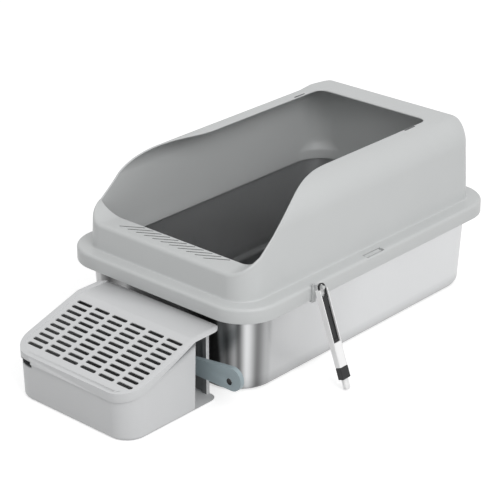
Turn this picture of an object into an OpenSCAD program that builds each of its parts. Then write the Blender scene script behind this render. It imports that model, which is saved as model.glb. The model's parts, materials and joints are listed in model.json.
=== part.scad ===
// Litter box with a steel pan, a moulded enclosure and a free-standing step.
// X runs across the box, -Y is the front where the step stands, Z is up.
// The origin is the centre of the pan's base, on the floor. Sizes are in millimetres.

/* [Steel tray] */
// Width of the pan's base
tray_w = 352; // [340:1:362]
// Length of the pan's base
tray_l = 603; // [590:1:620]
// Height of the pan to the top of its rim
tray_h = 156.3; // [146:0.1:164]
// Plan radius of the base's corners
tray_corner_r = 66; // [50:1:80]
// Lean of the pan's walls, in degrees
tray_draft = 3.1; // [2:0.1:4]
// Radius where the walls meet the base
tray_foot_r = 12; // [8:1:16]
// Thickness of the steel
steel_t = 1; // [0.8:0.1:1.4]
// Flat width of the rim before its bead
rim_flat = 4; // [3:0.5:6]
// Diameter of the rolled bead round the rim
bead_d = 4; // [3:0.5:5]

/* [Enclosure] */
// Height of the enclosure's top above the floor
hood_h = 300.5; // [285:0.5:315]
// Thickness of the moulded walls
wall_t = 3; // [2.4:0.1:3.4]
// Lean of the walls, in degrees
hood_draft = 2.9; // [1.5:0.1:3.5]
// Plan radius of the wall's corners at its foot
wall_corner_r = 42; // [36:1:50]
// Room between the pan's wall and the enclosure's wall at the sides
lip_gap_side = 5.9; // [5:0.1:8]
// Room between the pan's wall and the enclosure's wall at the ends
lip_gap_end = 11.4; // [9:0.1:13]
// How far the wall reaches down inside the pan, below the flange's underside
lip_drop = 13.5; // [8:0.5:20]
// Radius of the roll along the sides of the top
roll_r = 46; // [40:1:50]
// Radius of the roll along the back of the top
roll_back_r = 20; // [16:1:36]
// Width of the top opening
opening_w = 236; // [228:1:240]
// Width of the top rim at the back
back_rim = 68; // [64:1:76]
// Plan radius of the top opening's back corners
opening_corner_r = 17; // [12:1:22]

/* [Flange] */
// Thickness of the flange and its skirt
skirt_t = 2.5; // [2:0.1:3]
// Height of the flange with its skirt
skirt_h = 25; // [22:0.5:28]
// Plan radius of the flange's corners
flange_corner_r = 67; // [60:1:75]
// Radius along the flange's outer edge
flange_edge_r = 5; // [3.5:0.5:6]
// Room beside the pan's bead, which the rim clips use
rim_gap_side = 10.1; // [10:0.1:12]
// Room before and behind the pan's bead
rim_gap_end = 2; // [1.5:0.1:4]
// Gap where the flange seats on the pan's rim
seat_gap = 0.2; // [0.1:0.05:0.3]

/* [Entry] */
// Height of the entry sill above the floor
sill_h = 203; // [198:1:212]
// Depth of the sill's ledge
sill_depth = 46.8; // [44:0.1:52]
// Radius of the roll along the sill's front
sill_roll_r = 17; // [12:1:20]
// Distance over which the sill turns into each side wall
entry_corner_r = 40; // [32:1:42]
// Height over which the sill turns up into the side walls
entry_corner_h = 24; // [20:1:30]
// Distance from the middle of the box forward to where the sides start to drop
sweep_start = 41; // [30:1:55]
// Length over which the sides drop
sweep_l = 181.5; // [176:0.5:190]
// Width of the grip grooves in the sill
groove_w = 2.4; // [1.5:0.1:2.6]
// Depth of the grip grooves
groove_depth = 1.3; // [0.6:0.1:1.4]
// Spacing of the grip grooves across their run
groove_pitch = 9.5; // [8:0.5:12]
// Slant of the grip grooves, in degrees
groove_angle = 31; // [25:1:40]
// Length of the grooved band
band_l = 236; // [200:1:250]
// Depth of the grooved band
band_w = 22; // [16:1:24]

/* [Rim slots and clips] */
// Length of the slots beside the top opening
slot_l = 28; // [20:1:34]
// Width of the slots beside the top opening
slot_w = 3.4; // [2.5:0.1:3.8]
// Distance of those slots behind the middle of the box
slot_y = 178; // [150:1:190]
// Length of each clip's window in the flange
clip_window_l = 44; // [40:1:50]
// Width of each clip's window
clip_window_w = 11; // [10.6:0.1:11.4]
// Distance of the clips in front of the middle of the box
clip_y = 9.3; // [0:0.1:20]
// Length of the clip's thumb tab
clip_tab_l = 37; // [30:1:38]
// Width of the clip's thumb tab
clip_tab_w = 7; // [6:0.1:7.4]
// Diameter of the clips' pins
clip_pin_d = 2.4; // [2:0.1:2.8]
// Angle at which a clip lets go, used for the room round it
clip_release = 12; // [8:1:12]

/* [Tool hook] */
// Distance of the hook in front of the middle of the box
hook_y = 168.7; // [155:0.1:185]
// Width of the hook's clip
hook_w = 8; // [7:1:12]
// Thickness of the hook's clip
hook_t = 2.6; // [2.2:0.1:3]
// Diameter of the hook's peg
peg_d = 4.8; // [4:0.1:5.2]
// Length of the peg past the clip
peg_l = 19; // [16:0.2:22]

/* [Groove brush] */
// Length of the brush from its loop to its bristle tips
brush_l = 176; // [172:1:180]
// Lean of the brush as it stands on the floor, in degrees
brush_lean = 20; // [18:0.1:21]
// Width of the sheath
sheath_w = 18.5; // [18:0.5:21]
// Depth of the sheath
sheath_d = 10.5; // [10:0.5:12]
// Wall of the sheath
sheath_t = 1.5; // [1.2:0.1:1.8]
// Side clearance of the brush in its sheath
sheath_gap = 0.25; // [0.15:0.05:0.4]
// Length of the bristles
bristle_l = 19; // [15:1:22]
// Height of the head that holds the bristles
head_l = 19.7; // [17:0.1:22]
// Length of the white collar
collar_l = 40; // [34:1:44]
// Width of the handle
handle_w = 13; // [10:0.5:13.5]
// Radius of the hanging loop
loop_r = 7.5; // [7.2:0.1:7.6]
// Width of the loop's hole
loop_hole_w = 11.4; // [10.4:0.1:11.6]
// Length of the loop's hole
loop_hole_l = 20; // [17:0.5:21]
// How far the loop stands out of the top of the sheath
loop_out = 9.5; // [8:0.5:13]
// Depth of the handle's grip recess
grip_recess = 1.2; // [0.6:0.1:1.6]

/* [Step] */
// Width of the step's base
step_w = 249; // [246:1:260]
// Length of the step's base
step_l = 200; // [190:1:206]
// Height of the step's lid
step_h = 125; // [120:0.5:126]
// Distance of the step's middle to the right of the box's middle
step_x = 22; // [-30:0.5:30]
// How far the foot stands in behind the flange's front
step_tuck = 2.5; // [1:0.5:4]
// Lean of the step's walls, in degrees
step_draft = 1.5; // [1:0.1:2.5]
// Plan radius of the step's front corners
step_front_r = 36; // [30:1:37]
// Plan radius of the foot's back corners
step_back_r = 17; // [12:1:24]
// Radius where the walls meet the floor
step_foot_r = 6; // [4:0.5:8]
// Thickness of the step's walls
step_t = 2.5; // [2:0.1:3]
// Depth of the open pocket for the scoop
pocket_l = 56; // [52:1:60]
// Distance of the hinge posts inside the walls
post_inset = 21; // [16:1:26]
// Thickness of a hinge post
post_t = 8; // [6:0.5:10]

/* [Step lid] */
// Thickness of the lid's plate
lid_t = 3; // [2.5:0.1:3.4]
// Height of the lid's skirt below its plate
lid_skirt_h = 12; // [10:0.5:15]
// How far the lid stands proud of the walls, which its skirt laps over
lid_proud = 2; // [1.8:0.1:2.4]
// Gap between the lid's skirt and the walls inside it
lid_gap = 0.4; // [0.3:0.1:0.5]
// Distance from the flange's front to where the lid starts to slope
lid_flat_l = 53.5; // [50:0.5:60]
// Fall of the lid's front part, in degrees
lid_slope = 16.7; // [15:0.1:18]
// Width of the lid's raised border
border_w = 7; // [5:0.5:7.5]
// Height of the raised border
border_h = 1; // [0.5:0.1:1.2]
// Columns of slots in the lid
slot_cols = 6; // [5:1:6]
// Rows of slots in the lid
slot_rows = 10; // [8:1:10]
// Length of a lid slot
lid_slot_l = 32.5; // [28:0.5:33]
// Width of a lid slot
lid_slot_w = 6.4; // [4:0.1:6.6]
// Spacing of the slot columns
slot_col_pitch = 39.1; // [37:0.1:39.2]
// Spacing of the slot rows along the slope
slot_row_pitch = 12.3; // [11:0.1:12.4]
// Distance from where the lid starts to slope to the first row
slot_first = 19.5; // [17:0.5:20]
// How far the slots lie to the right of the lid's middle
slot_shift = 3; // [0:0.5:3]
// Width of the finger notch under the lid, by its front left corner
notch_w = 24; // [16:1:28]
// Height of the finger notch
notch_h = 12.5; // [9:0.5:15]
// How far the notch reaches up into the lid's skirt
notch_rise = 4; // [1:0.5:6]
// Distance from the step's left side to the notch's right end
notch_end = 42.5; // [38:0.5:48]
// Radius of the hinge's knuckles
knuckle_r = 3.4; // [3:0.1:3.6]
// Diameter of the hinge pins
hinge_pin_d = 3; // [2.6:0.1:3.2]
// Radial clearance of a pin in its hole
pin_gap = 0.05; // [0.03:0.01:0.08]

/* [Litter scoop] */
// Width of the scoop's blade
blade_w = 104; // [96:1:106]
// Length of the scoop's blade
blade_l = 125; // [110:1:130]
// Depth of the scoop's blade
blade_d = 23; // [18:1:25]
// Wall of the scoop
scoop_t = 2.4; // [2:0.1:3]
// Length of the scoop's handle, from the blade to its end
grip_l = 134; // [125:1:140]
// Width of the handle at its end
grip_w = 38.8; // [34:0.2:42]
// Width of the handle at the blade
neck_w = 25; // [20:1:30]
// Thickness of the handle
grip_t = 8; // [6:0.5:9]
// Diameter of the hole in the handle
grip_hole_d = 11; // [8:0.5:12]
// Number of slots in the blade
blade_slots = 9; // [7:1:9]
// Width of a slot in the blade
blade_slot_w = 6; // [5:0.5:6]
// Distance of the handle's end outside the step's wall
grip_out = 67; // [60:1:75]

/* [Hidden] */

$fn = 48;
corner_steps = 8;      // segments round a plan corner of a shell
roll_steps = 14;       // segments up a wall and over its roll
sweep_steps = 16;      // stations along the dropping side
cut = 1;               // how far a cutter runs past the face it cuts
soft_gap = 0.3;        // gap between pieces that only rest on each other

// Plan of the pan
tray_hw = tray_w / 2;
tray_hl = tray_l / 2;
tray_lean = tan(tray_draft);
tray_top_out = tray_h * tray_lean;            // how far the walls lean out at the rim
rim_out = tray_top_out + rim_flat + bead_d;   // outside of the bead
rim_hw = tray_hw + rim_out;
rim_hl = tray_hl + rim_out;

// Plan and levels of the enclosure
flange_z = tray_h + seat_gap + skirt_t;
skirt_z = flange_z - skirt_h;
under_z = flange_z - skirt_t;
lip_z = under_z - lip_drop;
flange_hw = rim_hw + rim_gap_side + skirt_t;
flange_hl = rim_hl + rim_gap_end + skirt_t;
wall_hw = tray_hw + tray_top_out - lip_gap_side;
wall_hl = tray_hl + tray_top_out - lip_gap_end;
hood_lean = tan(hood_draft);
roll_z = hood_h - roll_r;                     // where the wall starts to roll in
corner_x = wall_hw - wall_corner_r;           // centres of the wall's corner arcs
corner_y = wall_hl - wall_corner_r;
lip_corner_r = tray_corner_r + tray_top_out - lip_gap_end;   // follows the pan's corner
lip_set = 0.4;                                // how far the lip stands in from the wall's face
opening_hw = opening_w / 2;
opening_hl = wall_hl - back_rim;
sill_y = -wall_hl + sill_depth;               // inner edge of the sill
entry_wall_z = sill_h + entry_corner_h;       // where the sill's corner meets the side wall
entry_turn = 1.25;                            // how square that corner is, 1 being a plain arc
sweep_turn = 0.85;                            // how soon the sides rise, 1 being a plain curve

// Levels and places of the clips, hook and step
clip_axis_z = under_z - 6;                    // height of the pin that a clip rocks on
clip_axis_x = flange_hw - 6.7;
clip_barrel_r = 2.8;
clip_leg_t = 2.6;                             // thickness of the clip's leg
clip_leg_l = 11;                              // how far the leg reaches below the pin
clip_foot_drop = 7;                           // underside of the clip's foot below the pin
clip_foot_t = 2.4;
window_x1 = flange_hw - 2;                    // outer edge of the clip's window
window_x0 = window_x1 - clip_window_w;
window_y0 = -clip_y - clip_window_l / 2;
window_y1 = window_y0 + clip_window_l;
ear_t = 2.5;                                  // thickness of an ear that holds the pin
ear_drop = 4;                                 // how far an ear reaches below the pin
step_back_y = -flange_hl + step_tuck;
step_front_y = step_back_y - step_l;
step_hw = step_w / 2;
step_lean = tan(step_draft);
seam_y = step_back_y - pocket_l - step_t;     // where the side walls end
lid_under = step_h - lid_t;
crease_y = -flange_hl - lid_flat_l;
slope = tan(lid_slope);
post_hw = step_hw - post_inset;               // outer face of the hinge posts
hinge_y = step_back_y - 1.2 - knuckle_r;      // axis of the lid's hinge, clear of the back
hinge_z = lid_under - knuckle_r - 0.6;
knuckle_l = 7.5;
knuckle_gap = 0.5;                            // between a knuckle and its post
skirt_front_z = step_h - (crease_y - step_front_y) * slope - lid_t - lid_skirt_h;
pin_r = hinge_pin_d / 2;

// ---------------------------------------------------------------- helpers

function unit(v) = v / norm(v);

// Points round a rectangle with rounded corners, anticlockwise from the right of its front edge
function rounded_ring(hw, hl, r, n = corner_steps) = [
    for (c = [0:3], i = [0:n])
        let (a = -90 + 90 * (c + i / n),
             cx = (c == 0 || c == 1 ? 1 : -1) * (hw - r),
             cy = (c == 1 || c == 2 ? 1 : -1) * (hl - r))
        [cx + r * cos(a), cy + r * sin(a)]
];

function lift(ring, z) = [for (p = ring) [p[0], p[1], z]];

// A closed solid through a stack of rings that all have the same number of points
module skin(rings) {
    n = len(rings[0]);
    m = len(rings);
    points = [for (ring = rings, p = ring) p];
    sides = [
        for (k = [0:m - 2], i = [0:n - 1])
            let (a = k * n + i, b = k * n + (i + 1) % n)
            each [[a, a + n, b], [b, a + n, b + n]]
    ];
    bottom = [for (i = [0:n - 1]) i];
    top = [for (i = [n - 1:-1:0]) (m - 1) * n + i];
    polyhedron(points, concat(sides, [bottom], [top]), convexity = 8);
}

// A closed loop of closed profiles, such as a rim that runs right round.
// turned says for which stations the patches are split along their other diagonal.
module loop_skin(profiles, turned) {
    m = len(profiles);
    n = len(profiles[0]);
    points = [for (profile = profiles, p = profile) p];
    faces = [
        for (k = [0:m - 1], i = [0:n - 1])
            let (a = k * n + i, b = k * n + (i + 1) % n,
                 c = ((k + 1) % m) * n + i, d = ((k + 1) % m) * n + (i + 1) % n)
            each turned(k) ? [[a, b, d], [a, d, c]] : [[a, b, c], [b, d, c]]
    ];
    polyhedron(points, faces, convexity = 12);
}

// A slot with round ends, l long and w wide, in the XY plane
module stadium(l, w) {
    square([l - w, w], center = true);
    for (s = [-1, 1]) translate([s * (l - w) / 2, 0]) circle(d = w);
}

// A rectangle with rounded corners, centred
module rounded_square(size, r) {
    square([size[0] - 2 * r, size[1]], center = true);
    square([size[0], size[1] - 2 * r], center = true);
    for (x = [-1, 1], y = [-1, 1])
        translate([x * (size[0] / 2 - r), y * (size[1] / 2 - r)]) circle(r);
}

// A cylinder along X from x0 to x1
module rod_x(x0, x1, r) {
    translate([x0, 0, 0]) rotate([0, 90, 0]) cylinder(h = x1 - x0, r = r);
}

// A cylinder along Y from y0 to y1
module rod_y(y0, y1, r) {
    translate([0, y1, 0]) rotate([90, 0, 0]) cylinder(h = y1 - y0, r = r);
}

// The same shape on the right, or mirrored to the left
module on_side(side) {
    if (side < 0) mirror([1, 0, 0]) children();
    else children();
}

// ---------------------------------------------------------------- steel tray

// A ring of the pan, off mm outside its base outline
function tray_ring(off, z) =
    lift(rounded_ring(tray_hw + off, tray_hl + off, tray_corner_r + off), z);

// Rings that turn from the base up into the leaning wall, for a skin inset by t
function tray_foot(t) = [
    for (i = [0:4])
        let (a = 90 * i / 4, r = tray_foot_r - t)
        tray_ring(-tray_foot_r + r * sin(a) + tray_foot_r * tray_lean * i / 4,
                  tray_foot_r - r * cos(a))
];

module steel_tray() {
    rim = tray_top_out + rim_flat;
    bead_r = bead_d / 2;
    color([0.80, 0.81, 0.82])
    difference() {
        skin(concat(
            tray_foot(0),
            [tray_ring(tray_top_out, tray_h - steel_t), tray_ring(rim, tray_h - steel_t)],
            [for (a = [-150:40:90])
                tray_ring(rim + bead_r + bead_r * cos(a), tray_h - bead_r + bead_r * sin(a))]
        ));
        skin(concat(
            tray_foot(steel_t),
            [tray_ring(tray_top_out - steel_t, tray_h + cut)]
        ));
    }
}

// ---------------------------------------------------------------- enclosure

// A station of the enclosure's wall, where its section is drawn:
// [wall point, inward normal, flange point, end of the roll, roll start height,
//  roll radius, roll angle, lip point]
function turn_in(o, n, e, zw) =
    let (k = hood_lean * (zw - flange_z) + wall_t) norm(e - o - n * k) + k;

// Points of the lip inside the pan, on the straight side and round a corner
function lip_side(y) = [wall_hw, y * (wall_hl - lip_corner_r) / corner_y];
function lip_corner(n, end) = [wall_hw - lip_corner_r, end * (wall_hl - lip_corner_r)]
                              - lip_corner_r * n;

function smooth(u) = u <= 0 ? 0 : u >= 1 ? 1 : u * u * (3 - 2 * u);

// How far the roll reaches in from the wall at y, along the sides
function full_reach() = wall_hw - hood_lean * (roll_z - flange_z) - opening_hw;
function reach(y) = full_reach() * pow(smooth(1 + (sweep_start + y) / sweep_l), sweep_turn);

// Station on the straight side at y, on the right
function side_station(y) =
    let (o = [wall_hw, y], n = [-1, 0],
         f = [flange_hw, y * (flange_hl - flange_corner_r) / corner_y],
         top_x = wall_hw - hood_lean * (roll_z - flange_z),
         drop_y = -sweep_start - sweep_l,
         v = (drop_y - y) / (drop_y + corner_y))
    v > 0
    ? let (roll = 90 * v, r = max(wall_t + 0.05, wall_t * v / (1 - cos(roll))),
           z = roll_z - (roll_z - entry_wall_z) * v)
      [o, n, f, [wall_hw - 20, y], z - r * sin(roll), r, roll, lip_side(y)]
    : let (in = reach(y), roll = in < roll_r ? acos(1 - max(in, 0.001) / roll_r) : 90)
      [o, n, f, [min(top_x - in, wall_hw - 20), y], roll_z, roll_r, roll, lip_side(y)];

// Station round the front corner, a degrees from the front
function entry_station(a) =
    let (n = [-sin(a), cos(a)],
         o = [corner_x, -corner_y] - wall_corner_r * n,
         f = [flange_hw - flange_corner_r, flange_corner_r - flange_hl] - flange_corner_r * n,
         side_x = wall_hw - hood_lean * (entry_wall_z - flange_z) - wall_t,
         e = [side_x - entry_corner_r * (1 - pow(sin(a), entry_turn)),
              sill_y - (sill_y + corner_y) * pow(sin(a), 2)],
         z = entry_wall_z - entry_corner_h * pow(max(cos(a), 0), entry_turn),
         r = (wall_t + 0.05) + (sill_roll_r - wall_t) * pow(max(cos(a), 0), 1.5))
    [o, n, f, e, z - r, r, 90, lip_corner(n, -1)];

// Station round the back corner, a degrees from the side
function back_station(a) =
    let (n = [-cos(a), -sin(a)],
         o = [corner_x, corner_y] - wall_corner_r * n,
         f = [flange_hw - flange_corner_r, flange_hl - flange_corner_r] - flange_corner_r * n,
         e = [opening_hw - opening_corner_r, opening_hl - opening_corner_r]
             - opening_corner_r * n,
         r = roll_r + (roll_back_r - roll_r) * pow(smooth(a / 90), 2))
    [o, n, f, e, hood_h - r, r, 90, lip_corner(n, 1)];

side_ys = concat(
    [for (i = [1:4]) -corner_y + (corner_y - sweep_start - sweep_l) * i / 4],
    [for (i = [1:sweep_steps]) -sweep_start - sweep_l * (1 - i / sweep_steps)],
    [opening_hl - opening_corner_r]
);
right_stations = concat(
    [for (i = [0:corner_steps]) entry_station(90 * i / corner_steps)],
    [for (y = side_ys) side_station(y)],
    [for (i = [0:corner_steps]) back_station(90 * i / corner_steps)]
);

// Place of a section point that lies r inside the wall's foot, at a station
function plan_in(s, r) =
    let (k = hood_lean * (s[4] - flange_z) + wall_t,
         turn = s[0] + s[1] * k)
    r <= k ? s[0] + s[1] * r : turn + unit(s[3] - turn) * (r - k);

// Place of a section point on the flange, at a fraction of the way out to its edge
function plan_out(s, f) = s[0] + (s[2] - s[0]) * f;

// Section point at a length l up the wall and over the roll: [r, z, angle]
function climb(s, l, base_z) =
    let (wall = s[4] - base_z, arc = s[5] * s[6] * PI / 180,
         r0 = hood_lean * (s[4] - flange_z))
    l < wall ? [hood_lean * (base_z + l - flange_z), base_z + l, 0]
    : l < wall + arc
      ? let (a = (l - wall) / s[5] * 180 / PI)
        [r0 + s[5] * (1 - cos(a)), s[4] + s[5] * sin(a), a]
      : [r0 + s[5] * (1 - cos(s[6])) + l - wall - arc, s[4] + s[5] * sin(s[6]), s[6]];

// The whole section at a station, flange, skirt, wall and lip, as one closed profile
function hood_section(s) =
    let (base_z = flange_z + 4,
         flange_span = norm(s[2] - s[0]),
         edge = flange_edge_r / flange_span,
         flat = s[6] < 90 ? 0
              : max(0, turn_in(s[0], s[1], s[3], s[4])
                       - hood_lean * (s[4] - flange_z) - s[5]),
         total = s[4] - base_z + s[5] * s[6] * PI / 180 + flat,
         rise = [for (i = [0:roll_steps]) climb(s, total * i / roll_steps, base_z)],
         out = concat(
             [[1, skirt_z], [1, flange_z - flange_edge_r]],
             [for (a = [30:30:90]) [1 - edge * (1 - cos(a)),
                                    flange_z - flange_edge_r * (1 - sin(a))]],
             [[3 / flange_span, flange_z], [0.8 / flange_span, flange_z + 1]]),
         lip = [[wall_t + lip_set, flange_z], [wall_t + lip_set, lip_z],
                [lip_set, lip_z], [lip_set, under_z]],
         under = [[1 - skirt_t / flange_span, under_z], [1 - skirt_t / flange_span, skirt_z]])
    concat(
        [for (p = out) let (q = plan_out(s, p[0])) [q[0], q[1], p[1]]],
        [for (p = rise) let (q = plan_in(s, p[0])) [q[0], q[1], p[1]]],
        [for (i = [roll_steps:-1:0])
            let (p = rise[i], q = plan_in(s, p[0] + wall_t * cos(p[2])))
            [q[0], q[1], p[1] - wall_t * sin(p[2])]],
        [let (q = plan_in(s, wall_t)) [q[0], q[1], flange_z + 1]],
        [for (p = lip) let (q = s[7] + s[1] * p[0]) [q[0], q[1], p[1]]],
        [for (p = under) let (q = plan_out(s, p[0])) [q[0], q[1], p[1]]]
    );

function flip_x(profile) = [for (p = profile) [-p[0], p[1], p[2]]];

module hood_shell() {
    right = [for (s = right_stations) hood_section(s)];
    left = [for (i = [len(right) - 1:-1:0]) flip_x(right[i])];
    n = len(right);
    // The diagonals run up the slope of the entry and of the sides, and are mirrored on the left
    loop_skin(concat(right, left),
              function(k) k < n ? k < corner_steps : k < 2 * n - 1 - corner_steps);
}

// Slanted grooves that give grip on the sill
module grip_grooves() {
    y = -wall_hl + sill_roll_r + (sill_depth - sill_roll_r) / 2;
    run = band_l + band_w;
    intersection() {
        translate([-band_l / 2, y - band_w / 2, sill_h - groove_depth])
            cube([band_l, band_w, groove_depth + cut]);
        for (x = [-run / 2:groove_pitch / sin(groove_angle):run / 2])
            translate([x, y, sill_h]) rotate([0, 0, groove_angle])
                cube([2 * band_w / sin(groove_angle), groove_w, 4 * groove_depth], center = true);
    }
}

// Ears under the flange that hold one clip's pin
module clip_ears() {
    x0 = rim_hw + 1;
    z0 = clip_axis_z - ear_drop;
    for (y = [window_y0 - ear_t, window_y1])
        translate([x0, y, z0])
            cube([flange_hw - skirt_t / 2 - x0, ear_t, under_z + skirt_t / 2 - z0]);
}

module enclosure() {
    color([0.80, 0.81, 0.81])
    difference() {
        union() {
            hood_shell();
            for (side = [-1, 1]) on_side(side) clip_ears();
        }
        grip_grooves();
        for (side = [-1, 1]) on_side(side) {
            translate([opening_hw + 1.6 + slot_w / 2, slot_y, hood_h])
                rotate([0, 0, 90]) linear_extrude(4 * wall_t, center = true) stadium(slot_l, slot_w);
            translate([window_x0, window_y0, under_z - cut])
                cube([clip_window_w, clip_window_l, skirt_t + 2 * cut]);
            translate([clip_axis_x, 0, clip_axis_z])
                rod_y(window_y0 - ear_t - cut, window_y1 + ear_t + cut, clip_pin_d / 2 + pin_gap);
        }
    }
}

// ---------------------------------------------------------------- rim clips

// Rocking clip in the flange: thumb tab, barrel round the pin and a leg beside the bead
module rim_clip() {
    tab_x1 = window_x1 - 1.5;
    tab_y0 = window_y0 + 0.5;
    barrel_l = clip_window_l - 1;
    foot_x0 = rim_hw + 0.5;
    tab_t = 2.5;
    difference() {
        union() {
            translate([tab_x1 - clip_tab_w, tab_y0, flange_z + 0.1 - tab_t])
                cube([clip_tab_w, clip_tab_l, tab_t]);
            translate([clip_axis_x - clip_leg_t / 2, tab_y0, clip_axis_z])
                cube([clip_leg_t, clip_tab_l, flange_z - 1 - clip_axis_z]);
            translate([clip_axis_x, 0, clip_axis_z])
                rod_y(tab_y0, tab_y0 + barrel_l, clip_barrel_r);
            translate([clip_axis_x - clip_leg_t / 2, tab_y0, clip_axis_z - clip_leg_l])
                cube([clip_leg_t, barrel_l, clip_leg_l]);
            translate([foot_x0, tab_y0, clip_axis_z - clip_foot_drop])
                cube([clip_axis_x - foot_x0, barrel_l, clip_foot_t]);
        }
        translate([clip_axis_x, 0, clip_axis_z])
            rod_y(window_y0 - cut, window_y1 + cut, clip_pin_d / 2 + pin_gap);
    }
}

module rim_clip_pin() {
    translate([clip_axis_x, 0, clip_axis_z])
        rod_y(window_y0 - ear_t, window_y1 + ear_t, clip_pin_d / 2);
}

// ---------------------------------------------------------------- tool hook

// Places in the brush's own frame: x out of the sheath's back, z up from the bristle tips
head_z = bristle_l;
collar_z = head_z + head_l + soft_gap;
bar_z = collar_z + collar_l;
sheath_top = brush_l - loop_out;
loop_z = brush_l - loop_r;
hole_top = brush_l - (2 * loop_r - loop_hole_w) / 2;
hole_low = hole_top - loop_hole_l;
loop_x0 = 0.5 * sheath_d;
loop_x1 = 0.8 * sheath_d;
bar_x0 = sheath_t + 0.7;      // back and front of the handle in its sheath
bar_x1 = 0.8 * sheath_d;
neck_front = 0.6;             // how far the handle's neck is set back from its front

// The brush stands with its lower back edge on the floor, and its loop round the peg
function brush_point(x, z) = [x * cos(brush_lean) - z * sin(brush_lean),
                              x * sin(brush_lean) + z * cos(brush_lean)];
hook_x = flange_hw + soft_gap;                       // back face of the hook's clip
loop_mid = brush_point((loop_x0 + loop_x1) / 2, hole_top);
peg_z = loop_mid[1] - peg_d / 2 - 1.6;
peg_x1 = hook_x + hook_t + peg_l;
brush_x = peg_x1 - 6.6 - loop_mid[0];

// Clip that is pushed up over the skirt's lower edge, with a peg for the brush's loop
module tool_hook() {
    back_z = skirt_z - soft_gap - hook_t;
    inner_x = hook_x - skirt_t - 2 * soft_gap - hook_t;
    inner_h = 14;
    button_r = peg_d / 2 + 0.8;
    color([0.92, 0.92, 0.92])
    translate([0, -hook_y, 0]) {
        translate([hook_x, -hook_w / 2, back_z])
            cube([hook_t, hook_w, peg_z + peg_d / 2 - back_z]);
        translate([inner_x, -hook_w / 2, back_z]) cube([hook_x + hook_t - inner_x, hook_w, hook_t]);
        translate([inner_x, -hook_w / 2, back_z]) cube([hook_t, hook_w, inner_h]);
        translate([0, 0, peg_z]) {
            rod_x(hook_x + hook_t / 2, peg_x1, peg_d / 2);
            rod_x(peg_x1 - 1.6, peg_x1, button_r);
        }
    }
}

// ---------------------------------------------------------------- groove brush

// Stands a shape drawn in the brush's own frame where the brush leans
module leaning() {
    translate([brush_x, -hook_y, 0]) rotate([0, -brush_lean, 0]) children();
}

// A box in the brush's frame, from x0 to x1, w wide, from z0 to z1
module brush_box(x0, x1, w, z0, z1) {
    translate([x0, -w / 2, z0]) cube([x1 - x0, w, z1 - z0]);
}

module brush_sheath() {
    color([0.94, 0.94, 0.94])
    leaning() difference() {
        brush_box(0, sheath_d, sheath_w, collar_z, sheath_top);
        brush_box(sheath_t, sheath_d + cut, sheath_w - 2 * sheath_t,
                  collar_z - cut, sheath_top + cut);
    }
}

module brush_handle() {
    bar_top = hole_low - 3;
    neck_l = 22;
    color([0.13, 0.13, 0.14])
    leaning() difference() {
        union() {
            brush_box(bar_x0, bar_x1, handle_w, bar_z, bar_top);
            brush_box(bar_x0 + 1, bar_x1 - neck_front, handle_w - 4, bar_z - neck_l, bar_z + 1);
            brush_box(bar_x0, loop_x1, handle_w, bar_top - 8, bar_top);
            brush_box(loop_x0, loop_x1, 2 * loop_r, bar_top - 1, loop_z);
            translate([loop_x0, 0, loop_z]) rod_x(0, loop_x1 - loop_x0, loop_r);
        }
        translate([0, 0, (hole_top + hole_low) / 2]) rotate([0, 90, 0])
            linear_extrude(3 * sheath_d, center = true) stadium(loop_hole_l, loop_hole_w);
        brush_box(bar_x1 - grip_recess, bar_x1 + cut, handle_w - 2.4, bar_z + 6, bar_top - 14);
    }
}

module brush_collar() {
    inner_w = sheath_w - 2 * sheath_t - 2 * sheath_gap;
    color([0.95, 0.95, 0.95])
    leaning() difference() {
        brush_box(sheath_t + sheath_gap, sheath_d, inner_w, collar_z, bar_z - 0.1);
        brush_box(bar_x0 + 0.9, bar_x1 - neck_front + 0.1, handle_w - 3.8, collar_z - cut, bar_z + cut);
    }
}

module brush_head() {
    color([0.10, 0.10, 0.11])
    leaning() {
        brush_box(0, sheath_d, sheath_w, head_z, head_z + head_l);
        brush_box(bar_x0 + 1.1, bar_x1 - neck_front - 0.2, handle_w - 4, head_z, collar_z + 8);
    }
}

// The bristles as one plain block with a rounded end
module brush_bristles() {
    w = sheath_w - 5;
    round_r = 0.62 * w;
    tip_gap = 0.35;
    color([0.96, 0.96, 0.95])
    leaning() intersection() {
        brush_box(2, sheath_d - 2, w, tip_gap, head_z);
        union() {
            translate([0, 0, round_r]) rod_x(0, sheath_d, round_r);
            brush_box(0, sheath_d, sheath_w, round_r, head_z);
        }
    }
}

// ---------------------------------------------------------------- step

// Outline of the step at height z, off mm outside its wall, as a ring. Its back is upright.
function step_ring(off, z) =
    let (o = off + z * step_lean, y0 = step_front_y - o, y1 = step_back_y + off,
         hw = step_hw + o, n = corner_steps)
    [for (c = [0:3], i = [0:n])
        let (a = -90 + 90 * (c + i / n), front = c == 0 || c == 3,
             r = front ? step_front_r + o : step_back_r + off,
             cx = (c == 0 || c == 1 ? 1 : -1) * (hw - r),
             cy = front ? y0 + r : y1 - r)
        [step_x + cx + r * cos(a), cy + r * sin(a), z]];

// The step's tapered block, off mm outside its walls
module step_block(off, z0 = 0) {
    r = max(step_foot_r + off, 1);
    skin(concat(
        [for (a = [0, 30, 60]) step_ring(off - r * (1 - sin(a)), z0 + r * (1 - cos(a)))],
        [step_ring(off, z0 + r), step_ring(off, step_h + 10)]
    ));
}

// Height of the lid's top face at y
function lid_z(y) = step_h - max(0, crease_y - y) * slope;

// Everything below the lid's top face less drop, across the whole step
module below_lid(drop, z0 = -50) {
    y0 = step_front_y - 60;
    y1 = step_back_y + 60;
    translate([step_x + step_w, 0, 0]) rotate([90, 0, -90])
        linear_extrude(2 * step_w)
            polygon([[-y0, z0], [-y0, lid_z(y0) - drop], [-crease_y, step_h - drop],
                     [-y1, step_h - drop], [-y1, z0]]);
}

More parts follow.
